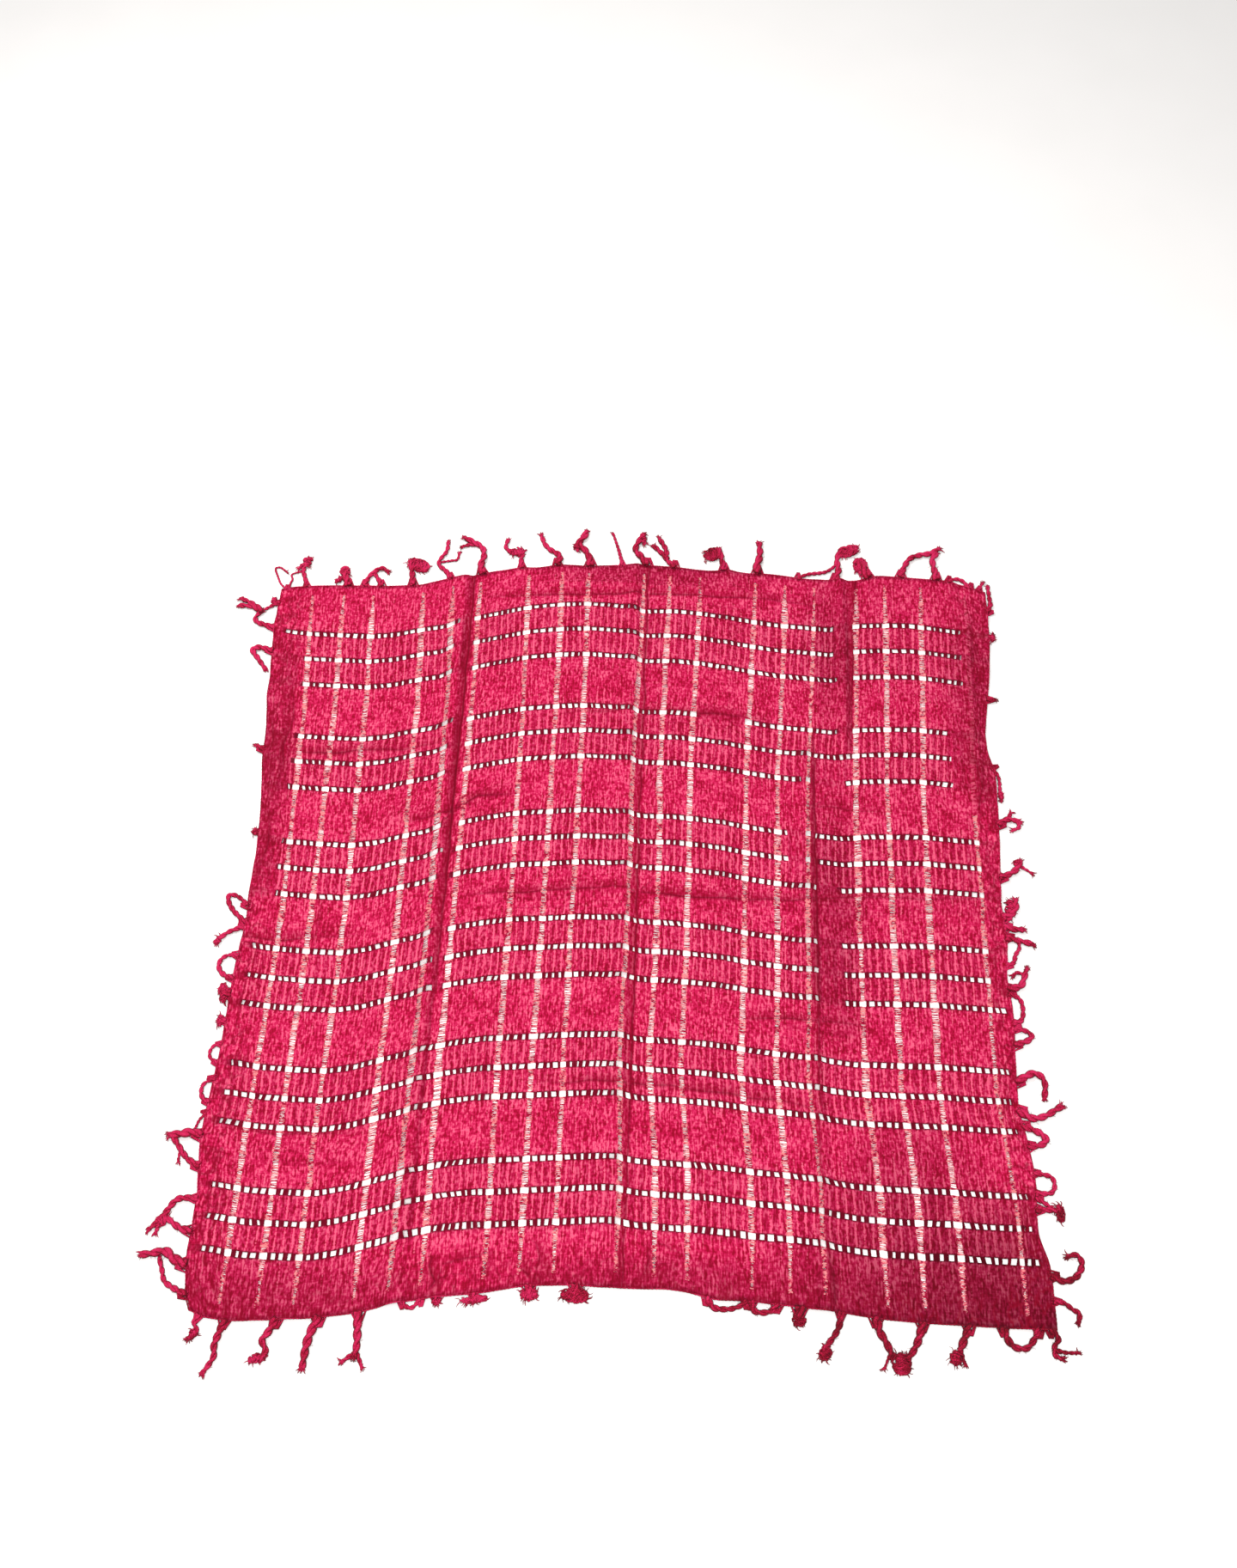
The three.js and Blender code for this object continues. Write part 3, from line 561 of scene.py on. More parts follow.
def paleMark(kind, line, middle, closed):
    pale = 0
    deep = line["deep"]
    if kind == "cellMiddle":
        chance = wave(middle * 1.9, deep / slits["chanceSize"], 2)
        if line["kind"] in ("inner", "rim"):
            pale = slits["besideRow"] + slits["besideChance"] * chance
        elif line["kind"] == "plain":
            away = smoothStep(abs(deep - rowNear(deep)) / slits["plainFade"])
            pale = lerp(slits["plainNear"], slits["plainFar"], away) + slits["plainChance"] * chance
    elif kind.startswith("column"):
        pale = slits["column"]
    if closed and kind == "cellMiddle" and line["kind"] == "rowEdge":
        return slits["closedCell"]
    if closed:
        pale *= slits["closedColumn" if kind.startswith("column") else "closedPlain"]
    return max(0, pale)


# how dark the rims are: the thicker threads' own darkness, deepened with painted shade
def darkMark(kind, line, onEdge, closed):
    if line["kind"] == "rowEdge":
        if closed or kind in ("plain", "edge"):
            return rims["closed"]
        return rims["cell" if kind == "cellMiddle" else "besideCell"]
    if onEdge:
        return rims["edge"]
    between = kind in ("cellLeft", "cellRight") and line["kind"] in ("inner", "rim")
    return rims["bundle"] if between else 0


def openHoles(cloth, across, deeps):
    # take out the faces of the open cells and columns
    opened = []
    wide = len(across) - 1
    for j, (line, after) in enumerate(zip(deeps, deeps[1:])):
        rowCell = line["kind"] == "rowEdge" and after["kind"] == "rowEdge"
        deep = (line["deep"] + after["deep"]) / 2
        inBorder = min(deep, shawl["side"] - deep) < weave["borderClosed"]
        for i in range(wide):
            kind = across[i]["kind"]
            isColumn = kind == "columnLeft" and not inBorder
            isCell = rowCell and kind in ("cellLeft", "cellMiddle")
            if (isColumn or isCell) and not inClosedZone(lineX(across[i], deep), deep, isColumn):
                opened.append(j * wide + i)
    bpy.ops.object.mode_set(mode="EDIT")
    bpy.ops.mesh.select_mode(type="FACE")
    bpy.ops.mesh.select_all(action="DESELECT")
    bpy.ops.object.mode_set(mode="OBJECT")
    for index in opened:
        cloth.data.polygons[index].select = True
    bpy.ops.object.mode_set(mode="EDIT")
    bpy.ops.mesh.delete(type="FACE")
    bpy.ops.object.mode_set(mode="OBJECT")


def buildCloth():
    rng = random.Random(11)
    across = acrossLines()
    deeps = deepLines()
    wide, tall = len(across), len(deeps)
    deselectAll()
    bpy.ops.mesh.primitive_grid_add(x_subdivisions=wide - 1, y_subdivisions=tall - 1, size=1)
    cloth = bpy.context.object
    cloth.name = "openwork_cloth"
    mesh = cloth.data
    print("cloth grid", wide, "by", tall)

    places = []
    flat = []
    marks = {name: [] for name in ("pale", "deepTone", "paintedShade", "crumpled", "creaseAway", "creaseDark")}
    chances = {}
    for j, line in enumerate(deeps):
        deep = line["deep"]
        towards = -1 if deeps[min(j + 1, tall - 1)]["kind"] == "rim" else 1
        onRow = line["kind"] == "rowEdge"
        for i, lineAcross in enumerate(across):
            kind = lineAcross["kind"]
            x = lineX(lineAcross, deep)
            d = deep
            closed = inClosedZone(x, deep)
            onEdge = kind == "edge" or line["kind"] == "edge"
            side = cellSides.get(kind, 0)
            if kind in cellSides and line["row"] >= 0:
                cell = (i - side, line["row"])
                if cell not in chances:
                    chances[cell] = [rng.uniform(-1, 1) for _ in range(3)]
                shift, grow, step = chances[cell]
                lean = wave(x / weave["leanSize"], line["row"] * 3.7, 1)
                x += weave["looseAt"] * shift + towards * weave["lean"] * lean
                x += side * weave["looseWide"] * grow
                if onRow:
                    d += towards * weave["looseDeep"] * step
                    x -= side * weave["round"]
            up = weave["rise"] if onRow or onEdge else 0
            if kind == "cellMiddle":
                up -= weave["sink"]
            places.extend(laidPoint(x, d, up + shawl["thick"] / 2))
            flat.append((x * mm, d * mm))
            laidY = pulled(x, d)
            # the nearest line of painted crease shade, and where the crumpled borders get painted crease
            # shade
            away, dark = nearestCrease(x, laidY)
            marks["pale"].append(paleMark(kind, line, i - side, closed))
            marks["deepTone"].append(darkMark(kind, line, onEdge, closed))
            # painted shade of the broad patches
            marks["paintedShade"].append(paintedShadeTone(x, laidY))
            marks["crumpled"].append(borderShare(x, deep))
            marks["creaseAway"].append(away)
            marks["creaseDark"].append(dark)
    mesh.vertices.foreach_set("co", places)
    for name, values in marks.items():
        mesh.attributes.new(name, "FLOAT", "POINT").data.foreach_set("value", values)
    uv = mesh.uv_layers[0]
    uv.name = "UVMap"
    uv.data.foreach_set("uv", [c for loop in mesh.loops for c in flat[loop.vertex_index]])

    openHoles(cloth, across, deeps)
    wall = cloth.modifiers.new("wall", "SOLIDIFY")
    wall.thickness = shawl["thick"] * mm
    wall.offset = 0
    deselectAll()
    bpy.context.view_layer.objects.active = cloth
    cloth.select_set(True)
    bpy.ops.object.modifier_apply(modifier="wall")
    cloth.select_set(False)
    cloth.data.calc_loop_triangles()
    print("cloth triangles", len(cloth.data.loop_triangles))
    return cloth


def meshPiece(name, vertices, faces):
    mesh = bpy.data.meshes.new(name)
    mesh.from_pydata(vertices, [], faces)
    mesh.update()
    piece = bpy.data.objects.new(name, mesh)
    bpy.context.collection.objects.link(piece)
    print(name, "faces", len(faces))
    return piece


# The ladder threads: weft left bare where a column of warp is missing
rungs = {
    "thin": 0.8,
    "thick": 2.0,
    "gap": (0.2, 1.5),
    "pitch": 0.7,  # the least step from one to the next, against the thickest
    "grip": 1.2,  # how far each end runs onto the cloth
    "slant": 0.7,
    "sag": 0.5,
    "endHalf": 0.62,  # half the width at the ends and in the middle, against the whole
    "middleHalf": 0.45,
    "lift": 0.3,
    "high": 0.8,
    "drop": 0.2,
    "rowGuard": 4.1,  # the loose ones stay this far from a row's middle
    "rowStep": 0.3,  # and one more lies here along each side of the row
    "rowWide": 1.3,
    "rowRise": 0.1,
}
# how the threads crowd together and part along a column
crowding = {
    "least": 0.5,
    "by": 1.3,
    "size": 22,
    "sparse": 1.3,
    "dense": 0.3,
    "loose": 0.8,
    "from": 10,
    "nearEdge": 0.45,
}


def buildRungs():
    rng = random.Random(23)
    vertices = []
    faces = []
    ends, base = rungs["endHalf"], rungs["lift"]

    def addRung(k, deep, wide, drop):
        if inClosedZone(columnX(k, deep), deep, True):
            return
        slant = rng.uniform(-rungs["slant"], rungs["slant"])
        left = columnX(k, deep) - halfColumn(k, deep) - rungs["grip"]
        right = columnX(k, deep) + halfColumn(k, deep) + rungs["grip"]
        sag = rng.uniform(-rungs["sag"], rungs["sag"])
        start = len(vertices)
        middle = (lerp(left, right, 0.5), sag, rungs["middleHalf"])
        for x, off, half in ((left, -slant, ends), middle, (right, slant, ends)):
            half *= wide
            for step, up in ((-half, base), (0, base + wide * rungs["high"]), (half, base)):
                vertices.append(laidPoint(x, deep + off + step, max(0, up - drop)))
        for ring in range(2):
            for side in range(3):
                a = start + ring * 3 + side
                b = start + ring * 3 + (side + 1) % 3
                faces.append((a, a + 3, b + 3, b))
        faces.append((start, start + 1, start + 2))
        faces.append((start + 8, start + 7, start + 6))

    beside = rungs["rowGuard"] + rungs["rowStep"]
    for k, column in enumerate(columns):
        deep = weave["borderClosed"] - 1
        while deep < shawl["side"] - weave["borderClosed"]:
            row = rowNear(deep)
            if abs(deep - row) < rungs["rowGuard"]:
                for edge in (-1, 1):
                    addRung(k, row + edge * beside, rungs["rowWide"], -rungs["rowRise"])
                deep = row + rungs["rowGuard"] + rungs["rowStep"] + rng.uniform(*rungs["gap"])
                continue
            crowd = crowding["least"] + crowding["by"] * wave(k * 5.7, deep / crowding["size"], 4)
            crowd = lerp(crowding["sparse"], crowding["dense"], min(1, max(0, crowd)))
            loose = 1 + crowding["loose"] * wave(k * 9.1, deep / looseness["size"], 6)
            inside = smoothStep((min(deep, shawl["side"] - deep) - crowding["from"]) / narrowing["over"])
            gap = column["open"] * loose * crowd * lerp(crowding["nearEdge"], 1, inside)
            addRung(k, deep, rng.uniform(rungs["thin"], rungs["thick"]), rng.uniform(0, rungs["drop"]))
            deep += rungs["thick"] * rungs["pitch"] + rng.uniform(*rungs["gap"]) * gap
    return meshPiece("ladder_threads", vertices, faces)


# The strands of the tassels. at is the root along the edge, half is half the strand's width, and each point
# of the route is along the edge and out from it. Only a strand that forks off another one has out, where it
# starts. One that comes back to the edge is a tassel that turns into it again.
strands = {
    "far": named(
        "at half route out",
        (6, 1.5, [(-3, 9), (-9, 22), (-14, 35), (-6, 37), (5, 30)]),
        (9, 1.3, [(12, 9), (15, 15), (14, 23), (24, 26)]), (34, 2.8, [(33, 12), (31, 27), (36, 40)]),
        (94, 4, [(90, 12), (86, 26)]), (118, 3.2, [(122, 12), (129, 22), (140, 29), (149, 24)]),
        (142, 3, [(137, 10), (131, 19)]), (187, 4, [(186, 16), (183, 40)]),
        (241, 3, [(236, 13), (230, 24), (232, 34), (240, 47), (242, 62)]),
        (233, 1.8, [(243, 30), (250, 31), (253, 41)], 30),
        (286, 4.2, [(287, 14), (293, 28), (293, 43), (285, 55), (275, 66)]),
        (288, 2.6, [(279, 53), (269, 53)], 50), (342, 3, [(342, 13), (345, 26)]),
        (331, 3, [(325, 37), (329, 49)], 27), (393, 3.6, [(397, 13), (387, 26), (382, 38), (380, 54)]),
        (441, 4.5, [(438, 15), (430, 27), (421, 36), (427, 48), (431, 57)]),
        (487, 2.2, [(484, 18), (480, 36), (476, 52)]),
        (523, 4.2, [(514, 12), (505, 24), (508, 38), (514, 52)]),
        (562, 3.4, [(551, 9), (545, 18), (531, 32)]), (550, 3.4, [(548, 28), (537, 47)], 12),
        (633, 4, [(631, 14), (628, 34)]), (681, 4.6, [(680, 12), (684, 30), (683, 51)]),
        (738, 2.4, [(752, 7), (775, 12), (786, 19), (793, 28)]),
        (791, 4, [(796, 16), (794, 32), (799, 50), (812, 55)]), (838, 5, [(836, 14), (834, 28)]),
        (885, 3.8, [(889, 14), (897, 31), (912, 39), (926, 43), (938, 52)]),
        (935, 4.2, [(932, 16), (929, 32), (934, 43)]), (952, 2.6, [(960, 6), (970, 6.5), (982, 3.5)]),
        (994, 2.4, [(996, 12)]),
    ),
    "near": named(
        "at half route out",
        (15, 2.6, [(14, 8), (20, 17), (16, 26)]), (46, 3.4, [(43, 14), (41, 28), (43, 40), (37, 58)]),
        (106, 3.8, [(98, 13), (91, 22), (96, 33), (92, 42)]),
        (155, 4.2, [(147, 14), (142, 30), (139, 53)]), (200, 4, [(198, 16), (196, 34), (193, 47)]),
        (194, 2.4, [(187, 47), (180, 51)], 43), (195, 2.2, [(198, 58)], 44),
        (249, 2.2, [(255, 6), (262, 7), (271, 2)]), (289, 2.6, [(289, 5)]), (332, 3, [(332, 7)]),
        (396, 4, [(396, 10)]), (450, 4, [(450, 11)]),
        (603, 3, [(611, 8.5), (626, 9.5), (640, 6), (649, 2)]),
        (654, 3.3, [(658, 9), (667, 10.5), (678, 7), (684, 2)]), (710, 5, [(710, 12)]),
        (757, 3.4, [(756, 15), (751, 27), (743, 39), (740, 50)]),
        (797, 4.2, [(801, 13), (808, 23), (816, 38)]), (814, 1.6, [(809, 51)], 36),
        (850, 3.8, [(846, 16), (841, 29), (834, 41)]), (903, 4, [(897, 14), (891, 28)]),
        (893, 1.8, [(896, 40)], 27), (941, 3.6, [(945, 11), (953, 20), (966, 21), (975, 12), (982, 2)]),
        (995, 3, [(1003, 9), (998, 18), (998, 27), (1005, 31)]),
        (999, 2.2, [(1011, 24), (1022, 24)], 22),
    ),
    "left": named(
        "at half route out",
        (20, 3, [(28, 12), (38, 24), (50, 27), (61, 31)]),
        (54, 4.6, [(60, 12), (68, 25), (66, 38), (64, 52)]), (93, 3.6, [(95, 13), (102, 25), (107, 34)]),
        (131, 3.2, [(132, 14), (129, 24), (119, 30), (107, 37), (91, 50)]), (104, 2.2, [(89, 41)], 39),
        (170, 3.4, [(179, 13), (191, 22), (203, 33)]), (193, 1.8, [(179, 25)], 23),
        (207, 4.4, [(210, 10), (207, 24), (205, 38)]), (236, 1.6, [(226, 6), (216, 9), (210, 14)]),
        (248, 2.5, [(254, 9), (264, 12), (272, 9), (278, 2)]),
        (298, 2.2, [(303, 10), (312, 12.5), (320, 8), (322, 2)]), (352, 3, [(352, 6)]),
        (388, 4, [(388, 9)]), (409, 2.8, [(412, 11), (421, 20), (431, 20), (438, 12), (440, 2)]),
        (479, 3.1, [(475, 12), (467, 23), (454, 32)]),
        (485, 2.8, [(498, 14), (512, 24), (522, 25), (521, 14), (509, 2)]), (614, 2.4, [(614, 4)]),
        (738, 3.4, [(743, 10)]), (894, 3.4, [(900, 18), (896, 27), (880, 17), (866, 8)]),
        (933, 3.3, [(936, 12), (941, 26), (949, 28), (958, 22)]), (975, 2.4, [(967, 11), (959, 22)]),
        (957, 4, [(965, 36), (965, 54)], 20), (960, 3.6, [(970, 38), (977, 54)], 24),
    ),
    "right": named(
        "at half route out",
        (29, 2.8, [(27, 11), (20, 20), (16, 27), (7, 25)]),
        (57, 3.2, [(51, 13), (55, 28), (63, 38), (71, 36), (72, 26)]),
        (133, 3.4, [(134, 12), (134, 24)]), (147, 2.6, [(141, 11), (136, 19)]),
        (152, 2.8, [(154, 17), (162, 22), (171, 18), (176, 2)]),
        (208, 3.6, [(207, 13), (211, 23), (219, 20), (226, 11), (233, 2)]),
        (252, 4, [(243, 9), (239, 18), (241, 32), (248, 43), (257, 51)]),
        (287, 3.8, [(293, 9), (299, 21), (294, 31), (283, 34), (270, 32)]),
        (334, 3.2, [(339, 13), (346, 21), (353, 14), (355, 2)]),
        (362, 2.8, [(366, 9), (379, 13), (393, 11), (401, 2)]),
        (407, 3.8, [(409, 14), (419, 20), (436, 24)]), (428, 2.4, [(430, 12), (426, 8)], 21),
        (438, 2.4, [(443, 8), (453, 10), (463, 15), (471, 14)]),
        (476, 3.8, [(472, 12), (470, 22), (468, 31)]), (490, 3.8, [(486, 12), (485, 22)]),
        (503, 4, [(508, 13), (518, 18), (529, 18)]), (559, 3.8, [(565, 12), (573, 21), (583, 25)]),
        (578, 2, [(573, 34), (569, 40)], 24), (635, 3.4, [(642, 8), (643, 16), (641, 26)]),
        (642, 2.4, [(633, 26), (629, 20)], 25), (643, 2.4, [(652, 16)], 11),
        (720, 2.4, [(704, 4), (680, 4)]), (825, 3.2, [(826, 8)]), (925, 2.4, [(925, 4)]),
        (966, 3, [(976, 5), (990, 5), (1008, 4)]),
    ),
}

# Wound and frayed ends: the middle along the edge and out from it, half the length and width, and its turn
# in degrees.
tufts = {
    "far": named(
        "at out long wide turn",
        (37, 42, 8.5, 7, 60), (27, 34, 7, 3, 30), (88, 22, 10, 7.5, 100), (79, 8, 7, 4.5, 50),
        (196, 33, 18, 11, -20), (338, 26, 9.5, 8.5, 0), (419, 29, 8, 5, 100), (516, 41, 8, 4.5, 100),
        (618, 27, 15, 11, 10), (818, 50, 17, 9, 0), (835, 20, 15, 10.5, 80),
    ),
    "near": named(
        "at out long wide turn",
        (17, 21, 7, 4.5, 100), (88, 41, 12, 5, 170), (289, 4.5, 6, 3, 0), (332, 6, 17, 4.5, 0),
        (396, 9.5, 11, 7.5, 0), (450, 11, 17, 8.5, 0), (710, 12, 9, 8, 90), (742, 46, 9, 7, 110),
        (827, 46, 13, 11, 80), (887, 35, 9, 7.5, 120),
    ),
    "left": named(
        "at out long wide turn",
        (103, 36, 9, 7, 120), (352, 6, 8, 4, 0), (388, 8.5, 14, 6, 8), (456, 31, 7, 4.5, 160),
        (614, 4, 6, 2.6, 0), (976, 7, 6, 4, 0),
    ),
    "right": named(
        "at out long wide turn",
        (131, 27, 11, 5.5, 170), (515, 11, 13, 7, 8), (581, 22, 6, 5, 60), (675, 5, 9, 3.2, 0),
        (925, 4.4, 8, 2.8, 0),
    ),
}

cord = {
    "full": 1.38,  # how much fuller the loose yarn is than its core
    "flat": 0.72,  # height against width
    "ply": 0.58,  # one ply against the whole strand
    "turn": 4.6,  # length of one turn of the twist, against half the strand
    "step": 1.7,
    "sides": 6,
    "taper": 0.82,
    "swell": 0.08,  # the strand swells and thins a little along its length
    "swells": 5,
    "single": 2.0,  # a strand thinner than twice this is one yarn
    "singleTaper": (1.05, 0.75),
    "start": -1.5,  # strands begin just under the cloth's edge
    "back": 4,  # a route that ends nearer to the edge than this turns into it
    "least": 0.25,  # no yarn lies lower than this
}
fuzz = {
    "each": 0.3,  # stray fibres for each millimetre
    "base": 0.6,
    "lift": (0.6, 1.8),
    "fall": 0.5,
    "reach": (0.9, 1.5),
    "curl": 1.2,
    "halves": (0.3, 0.26, 0.14),
}
fray = {
    "least": 4,  # hairs at a strand's end, and more for each millimetre of its half
    "more": 2.4,
    "long": 10,
    "shorter": (0.35, 1.0),
    "spread": 0.36,
    "side": 0.5,
    "curl": 0.6,
    "inside": 0.2,  # the share of a hair that lies inside the strand
    "base": 0.8,
    "fall": (1.2, 0.9),
    "thick": (0.6, 1.15),
    "taper": (1, 1, 0.8, 0.35),
}
# a tuft is a lump, with yarn wound round it and loose ends that stray from it
lump = {
    "high": 3.0,
    "usual": 80,  # half length times half width of a tuft with the counts of wraps and strays below
    "rings": 8,
    "sides": 10,
    "end": 0.96,
    "core": 0.66,
    "bumpy": 0.3,
    "round": 0.06,
    "least": 0.3,
}
wraps = {
    "count": 22,
    "share": (0.45, 2),  # the fewest and the most, against the count
    "from": (-0.95, 0.6),
    "long": (0.3, 1.3),
    "last": 0.97,
    "turns": 1.3,
    "turnShare": (0.3, 1.2),
    "above": 0.93,
    "wavy": 0.08,
    "waves": 7,
    "points": 10,
    "half": 1.15,
    "chance": (0.7, 1.15),
    "tips": (0.7, 0.5),
}
strays = {
    "count": 14,
    "share": (0.5, 1.6),
    "from": (0.3, 0.95),
    "round": 0.5,
    "inside": 0.8,
    "spread": 0.35,
    "long": 7.5,
    "shorter": (0.35, 1),
    "waver": 0.1,
    "curl": 0.5,
    "fall": 0.6,
    "least": 0.8,
    "half": (0.4, 0.8),
    "taper": (1, 1, 0.8, 0.4),
}
# the yarns that leave the cloth's edge and gather into a strand, at three places from the cloth outwards
root = {
    "yarns": 6,
    "spread": 1.9,
    "chance": 1,
    "outs": (-4.5, 0.6, 5),
    "shares": (1, 0.7, 0.22),
    "highs": (2.1, 2.0, 0.6),
    "lift": 0.8,
    "halves": (0.6, 1.1, 0.34),
}


def edgePlace(name, at, out):
    table = {"far": farEdge, "near": nearEdge, "left": leftEdge, "right": rightEdge}[name]
    here = softTable(table, at)
    step = 4
    slope = (softTable(table, at + step) - softTable(table, at - step)) / (2 * step)
    length = math.hypot(1, slope)
    outward = -1 if name in ("near", "left") else 1
    a = at - outward * slope * out / length
    b = here + outward * out / length
    return (a, b) if name in ("far", "near") else (b, a)


def throughFour(a, b, c, d, t):
    # a place between b and c on the smooth curve that passes through all four
    straight = 2 * b + (c - a) * t
    return 0.5 * (straight + (2 * a - 5 * b + 4 * c - d) * t * t + (3 * b - a - 3 * c + d) * t ** 3)


def smoothRoute(points, step):
    # an even run of points on a smooth line through the given ones
    line = []
    fine = 12
    padded = [points[0], *points, points[-1]]
    for four in zip(padded, padded[1:], padded[2:], padded[3:]):
        for s in range(fine):
            line.append(tuple(throughFour(*along, s / fine) for along in zip(*four)))
    line.append(points[-1])
    lengths = [0]
    for a, b in zip(line, line[1:]):
        lengths.append(lengths[-1] + math.dist(a, b))
    total = lengths[-1]
    steps = max(3, round(total / step))
    route = []
    k = 0
    for n in range(steps + 1):
        at = total * n / steps
        while k < len(lengths) - 2 and lengths[k + 1] < at:
            k += 1
        t = (at - lengths[k]) / max(1e-6, lengths[k + 1] - lengths[k])
        route.append(tuple(lerp(a, b, t) for a, b in zip(line[k], line[k + 1])))
    return route, total


def closeRings(faces, start, rings, sides):
    # faces between rings of points that follow each other, and one over each end
    for n in range(rings - 1):
        for s in range(sides):
            a = start + n * sides + s
            b = start + n * sides + (s + 1) % sides
            faces.append((a, b, b + sides, a + sides))
    end = start + (rings - 1) * sides
    faces.append(tuple(start + s for s in reversed(range(sides))))
    faces.append(tuple(end + s for s in range(sides)))


def addTube(store, centres, halves, sides):
    # a closed tube through 3-D centres in millimetres
    vertices, faces = store
    start = len(vertices)
    last = len(centres) - 1
    for n, (centre, half) in enumerate(zip(centres, halves)):
        run = (Vector(centres[min(n + 1, last)]) - Vector(centres[max(n - 1, 0)])).normalized()
        side = Vector((-run.y, run.x, 0))
        side = side.normalized() if side.length > 1e-4 else Vector((1, 0, 0))
        up = run.cross(side) * -1
        if up.z < 0:
            up = -up
        for s in range(sides):
            turn = 2 * math.pi * s / sides
            place = Vector(centre) + (side * math.cos(turn) + up * math.sin(turn)) * half
            vertices.append(toFrame(place.x, place.y, max(cord["least"], place.z)))
    closeRings(faces, start, len(centres), sides)


def addTwist(store, route, length, half, phase):
    ply = half * cord["ply"]
    swing = half - ply
    last = len(route) - 1
    for side in (0, math.pi):
        centres = []
        halves = []
        for n, (x, y) in enumerate(route):
            t = n / last
            ax, ay = route[max(n - 1, 0)]
            bx, by = route[min(n + 1, last)]
            run = math.hypot(bx - ax, by - ay) or 1
            nx, ny = -(by - ay) / run, (bx - ax) / run
            turn = phase + side + 2 * math.pi * t * length / (cord["turn"] * half)
            size = lerp(1, cord["taper"], t) * (1 + cord["swell"] * math.sin(cord["swells"] * t + phase))
            across = math.cos(turn) * swing * size
            up = math.sin(turn) * swing * size * cord["flat"]
            lift = shawl["underside"] + half * cord["flat"] * size
            centres.append((x + nx * across, y + ny * across, lift + up))
            halves.append(ply * size)
        addTube(store, centres, halves, cord["sides"])


def addFuzz(store, route, length, half, rng):
    # stray fibres that stand off the strand
    for _ in range(int(length * fuzz["each"])):
        x, y = route[rng.randrange(len(route) - 1)]
        lean = rng.uniform(0, 2 * math.pi)
        high = half * cord["flat"] * rng.uniform(*fuzz["lift"])
        reach = half * rng.uniform(*fuzz["reach"])
        centres = []
        for t in (0, 0.5, 1):
            bend = lean + fuzz["curl"] * t
            z = fuzz["base"] + high * (1 - fuzz["fall"] * t)
            centres.append((x + math.cos(bend) * reach * t, y + math.sin(bend) * reach * t, z))
        addTube(store, centres, fuzz["halves"], 3)


def addFray(store, end, run, half, rng):
    angle = math.atan2(run[1], run[0])
    highFrom, fall = fray["fall"]
    for _ in range(int(fray["least"] + half * fray["more"])):
        lean = angle + rng.gauss(0, fray["spread"])
        long = fray["long"] * rng.uniform(*fray["shorter"])
        side = rng.uniform(-fray["side"], fray["side"]) * half
        curl = rng.uniform(-fray["curl"], fray["curl"])
        x, y = end[0] - math.sin(angle) * side, end[1] + math.cos(angle) * side
        centres = []
        for n in range(4):
            t = n / 3
            bend = lean + curl * t
            out = t - fray["inside"]
            z = fray["base"] + half * cord["flat"] * (highFrom - fall * t)
            centres.append((x + math.cos(bend) * long * out, y + math.sin(bend) * long * out, z))
        thick = rng.uniform(*fray["thick"])
        addTube(store, centres, [thick * share for share in fray["taper"]], 5)


def addTuft(store, name, tuft, rng):
    # yarn wound round a lump, with loose ends
    angle = math.radians(tuft["turn"])
    ax, ay = edgePlace(name, tuft["at"] - math.cos(angle), tuft["out"] - math.sin(angle))
    bx, by = edgePlace(name, tuft["at"] + math.cos(angle), tuft["out"] + math.sin(angle))
    mx, my = (ax + bx) / 2, (ay + by) / 2
    run = math.hypot(bx - ax, by - ay)
    ux, uy = (bx - ax) / run, (by - ay) / run
    long, wide, high = tuft["long"], tuft["wide"], min(lump["high"], tuft["wide"])

    def onLump(t, turn, grow):
        # a place on the lump, t along its length and turn round it
        swell = math.sqrt(max(lump["round"], 1 - t * t)) * grow
        across = math.cos(turn) * wide * swell
        z = shawl["underside"] + high + math.sin(turn) * high * swell
        return (mx + ux * long * t - uy * across, my + uy * long * t + ux * across, z)

    def howMany(kind):
        least, most = kind["share"]
        return int(kind["count"] * max(least, min(most, long * wide / lump["usual"])))

    vertices, faces = store
    start = len(vertices)
    rings, sides = lump["rings"], lump["sides"]
    for n in range(rings + 1):
        t = lerp(-lump["end"], lump["end"], n / rings)
        for s in range(sides):
            turn = 2 * math.pi * s / sides
            grow = lump["core"] + lump["bumpy"] * wave(mx + 9 * t, my, 2.5 * turn)
            x, y, z = onLump(t, turn, grow)
            vertices.append(toFrame(x, y, max(lump["least"], z)))
    closeRings(faces, start, rings + 1, sides)
    for _ in range(howMany(wraps)):
        first = rng.uniform(*wraps["from"])
        last = min(wraps["last"], first + rng.uniform(*wraps["long"]))
        turn = rng.uniform(0, 2 * math.pi)
        spin = rng.choice((-1, 1)) * wraps["turns"] * rng.uniform(*wraps["turnShare"])
        centres = []
        for n in range(wraps["points"] + 1):
            t = n / wraps["points"]
            grow = wraps["above"] + wraps["wavy"] * math.sin(wraps["waves"] * t + turn)
            centres.append(onLump(lerp(first, last, t), turn + spin * math.pi * t, grow))
        half = wraps["half"] * rng.uniform(*wraps["chance"])
        startTip, endTip = wraps["tips"]
        addTube(store, centres, [half * startTip, *[half] * (wraps["points"] - 1), half * endTip], 5)
    for _ in range(howMany(strays)):
        t = rng.choice((-1, 1)) * rng.uniform(*strays["from"])
        turn = rng.choice((0, math.pi)) + rng.uniform(-strays["round"], strays["round"])
        x, y, z = onLump(t, turn, strays["inside"])
        lean = math.atan2(y - my, x - mx) + rng.gauss(0, strays["spread"])
        reach = strays["long"] * rng.uniform(*strays["shorter"])
        centres = []
        for t in (0, 0.35, 0.7, 1):
            bend = lean + rng.uniform(-strays["waver"], strays["waver"]) + strays["curl"] * t
            low = max(strays["least"], z * (1 - strays["fall"] * t))
            centres.append((x + math.cos(bend) * reach * t, y + math.sin(bend) * reach * t, low))
        half = rng.uniform(*strays["half"])
        addTube(store, centres, [half * share for share in strays["taper"]], 4)


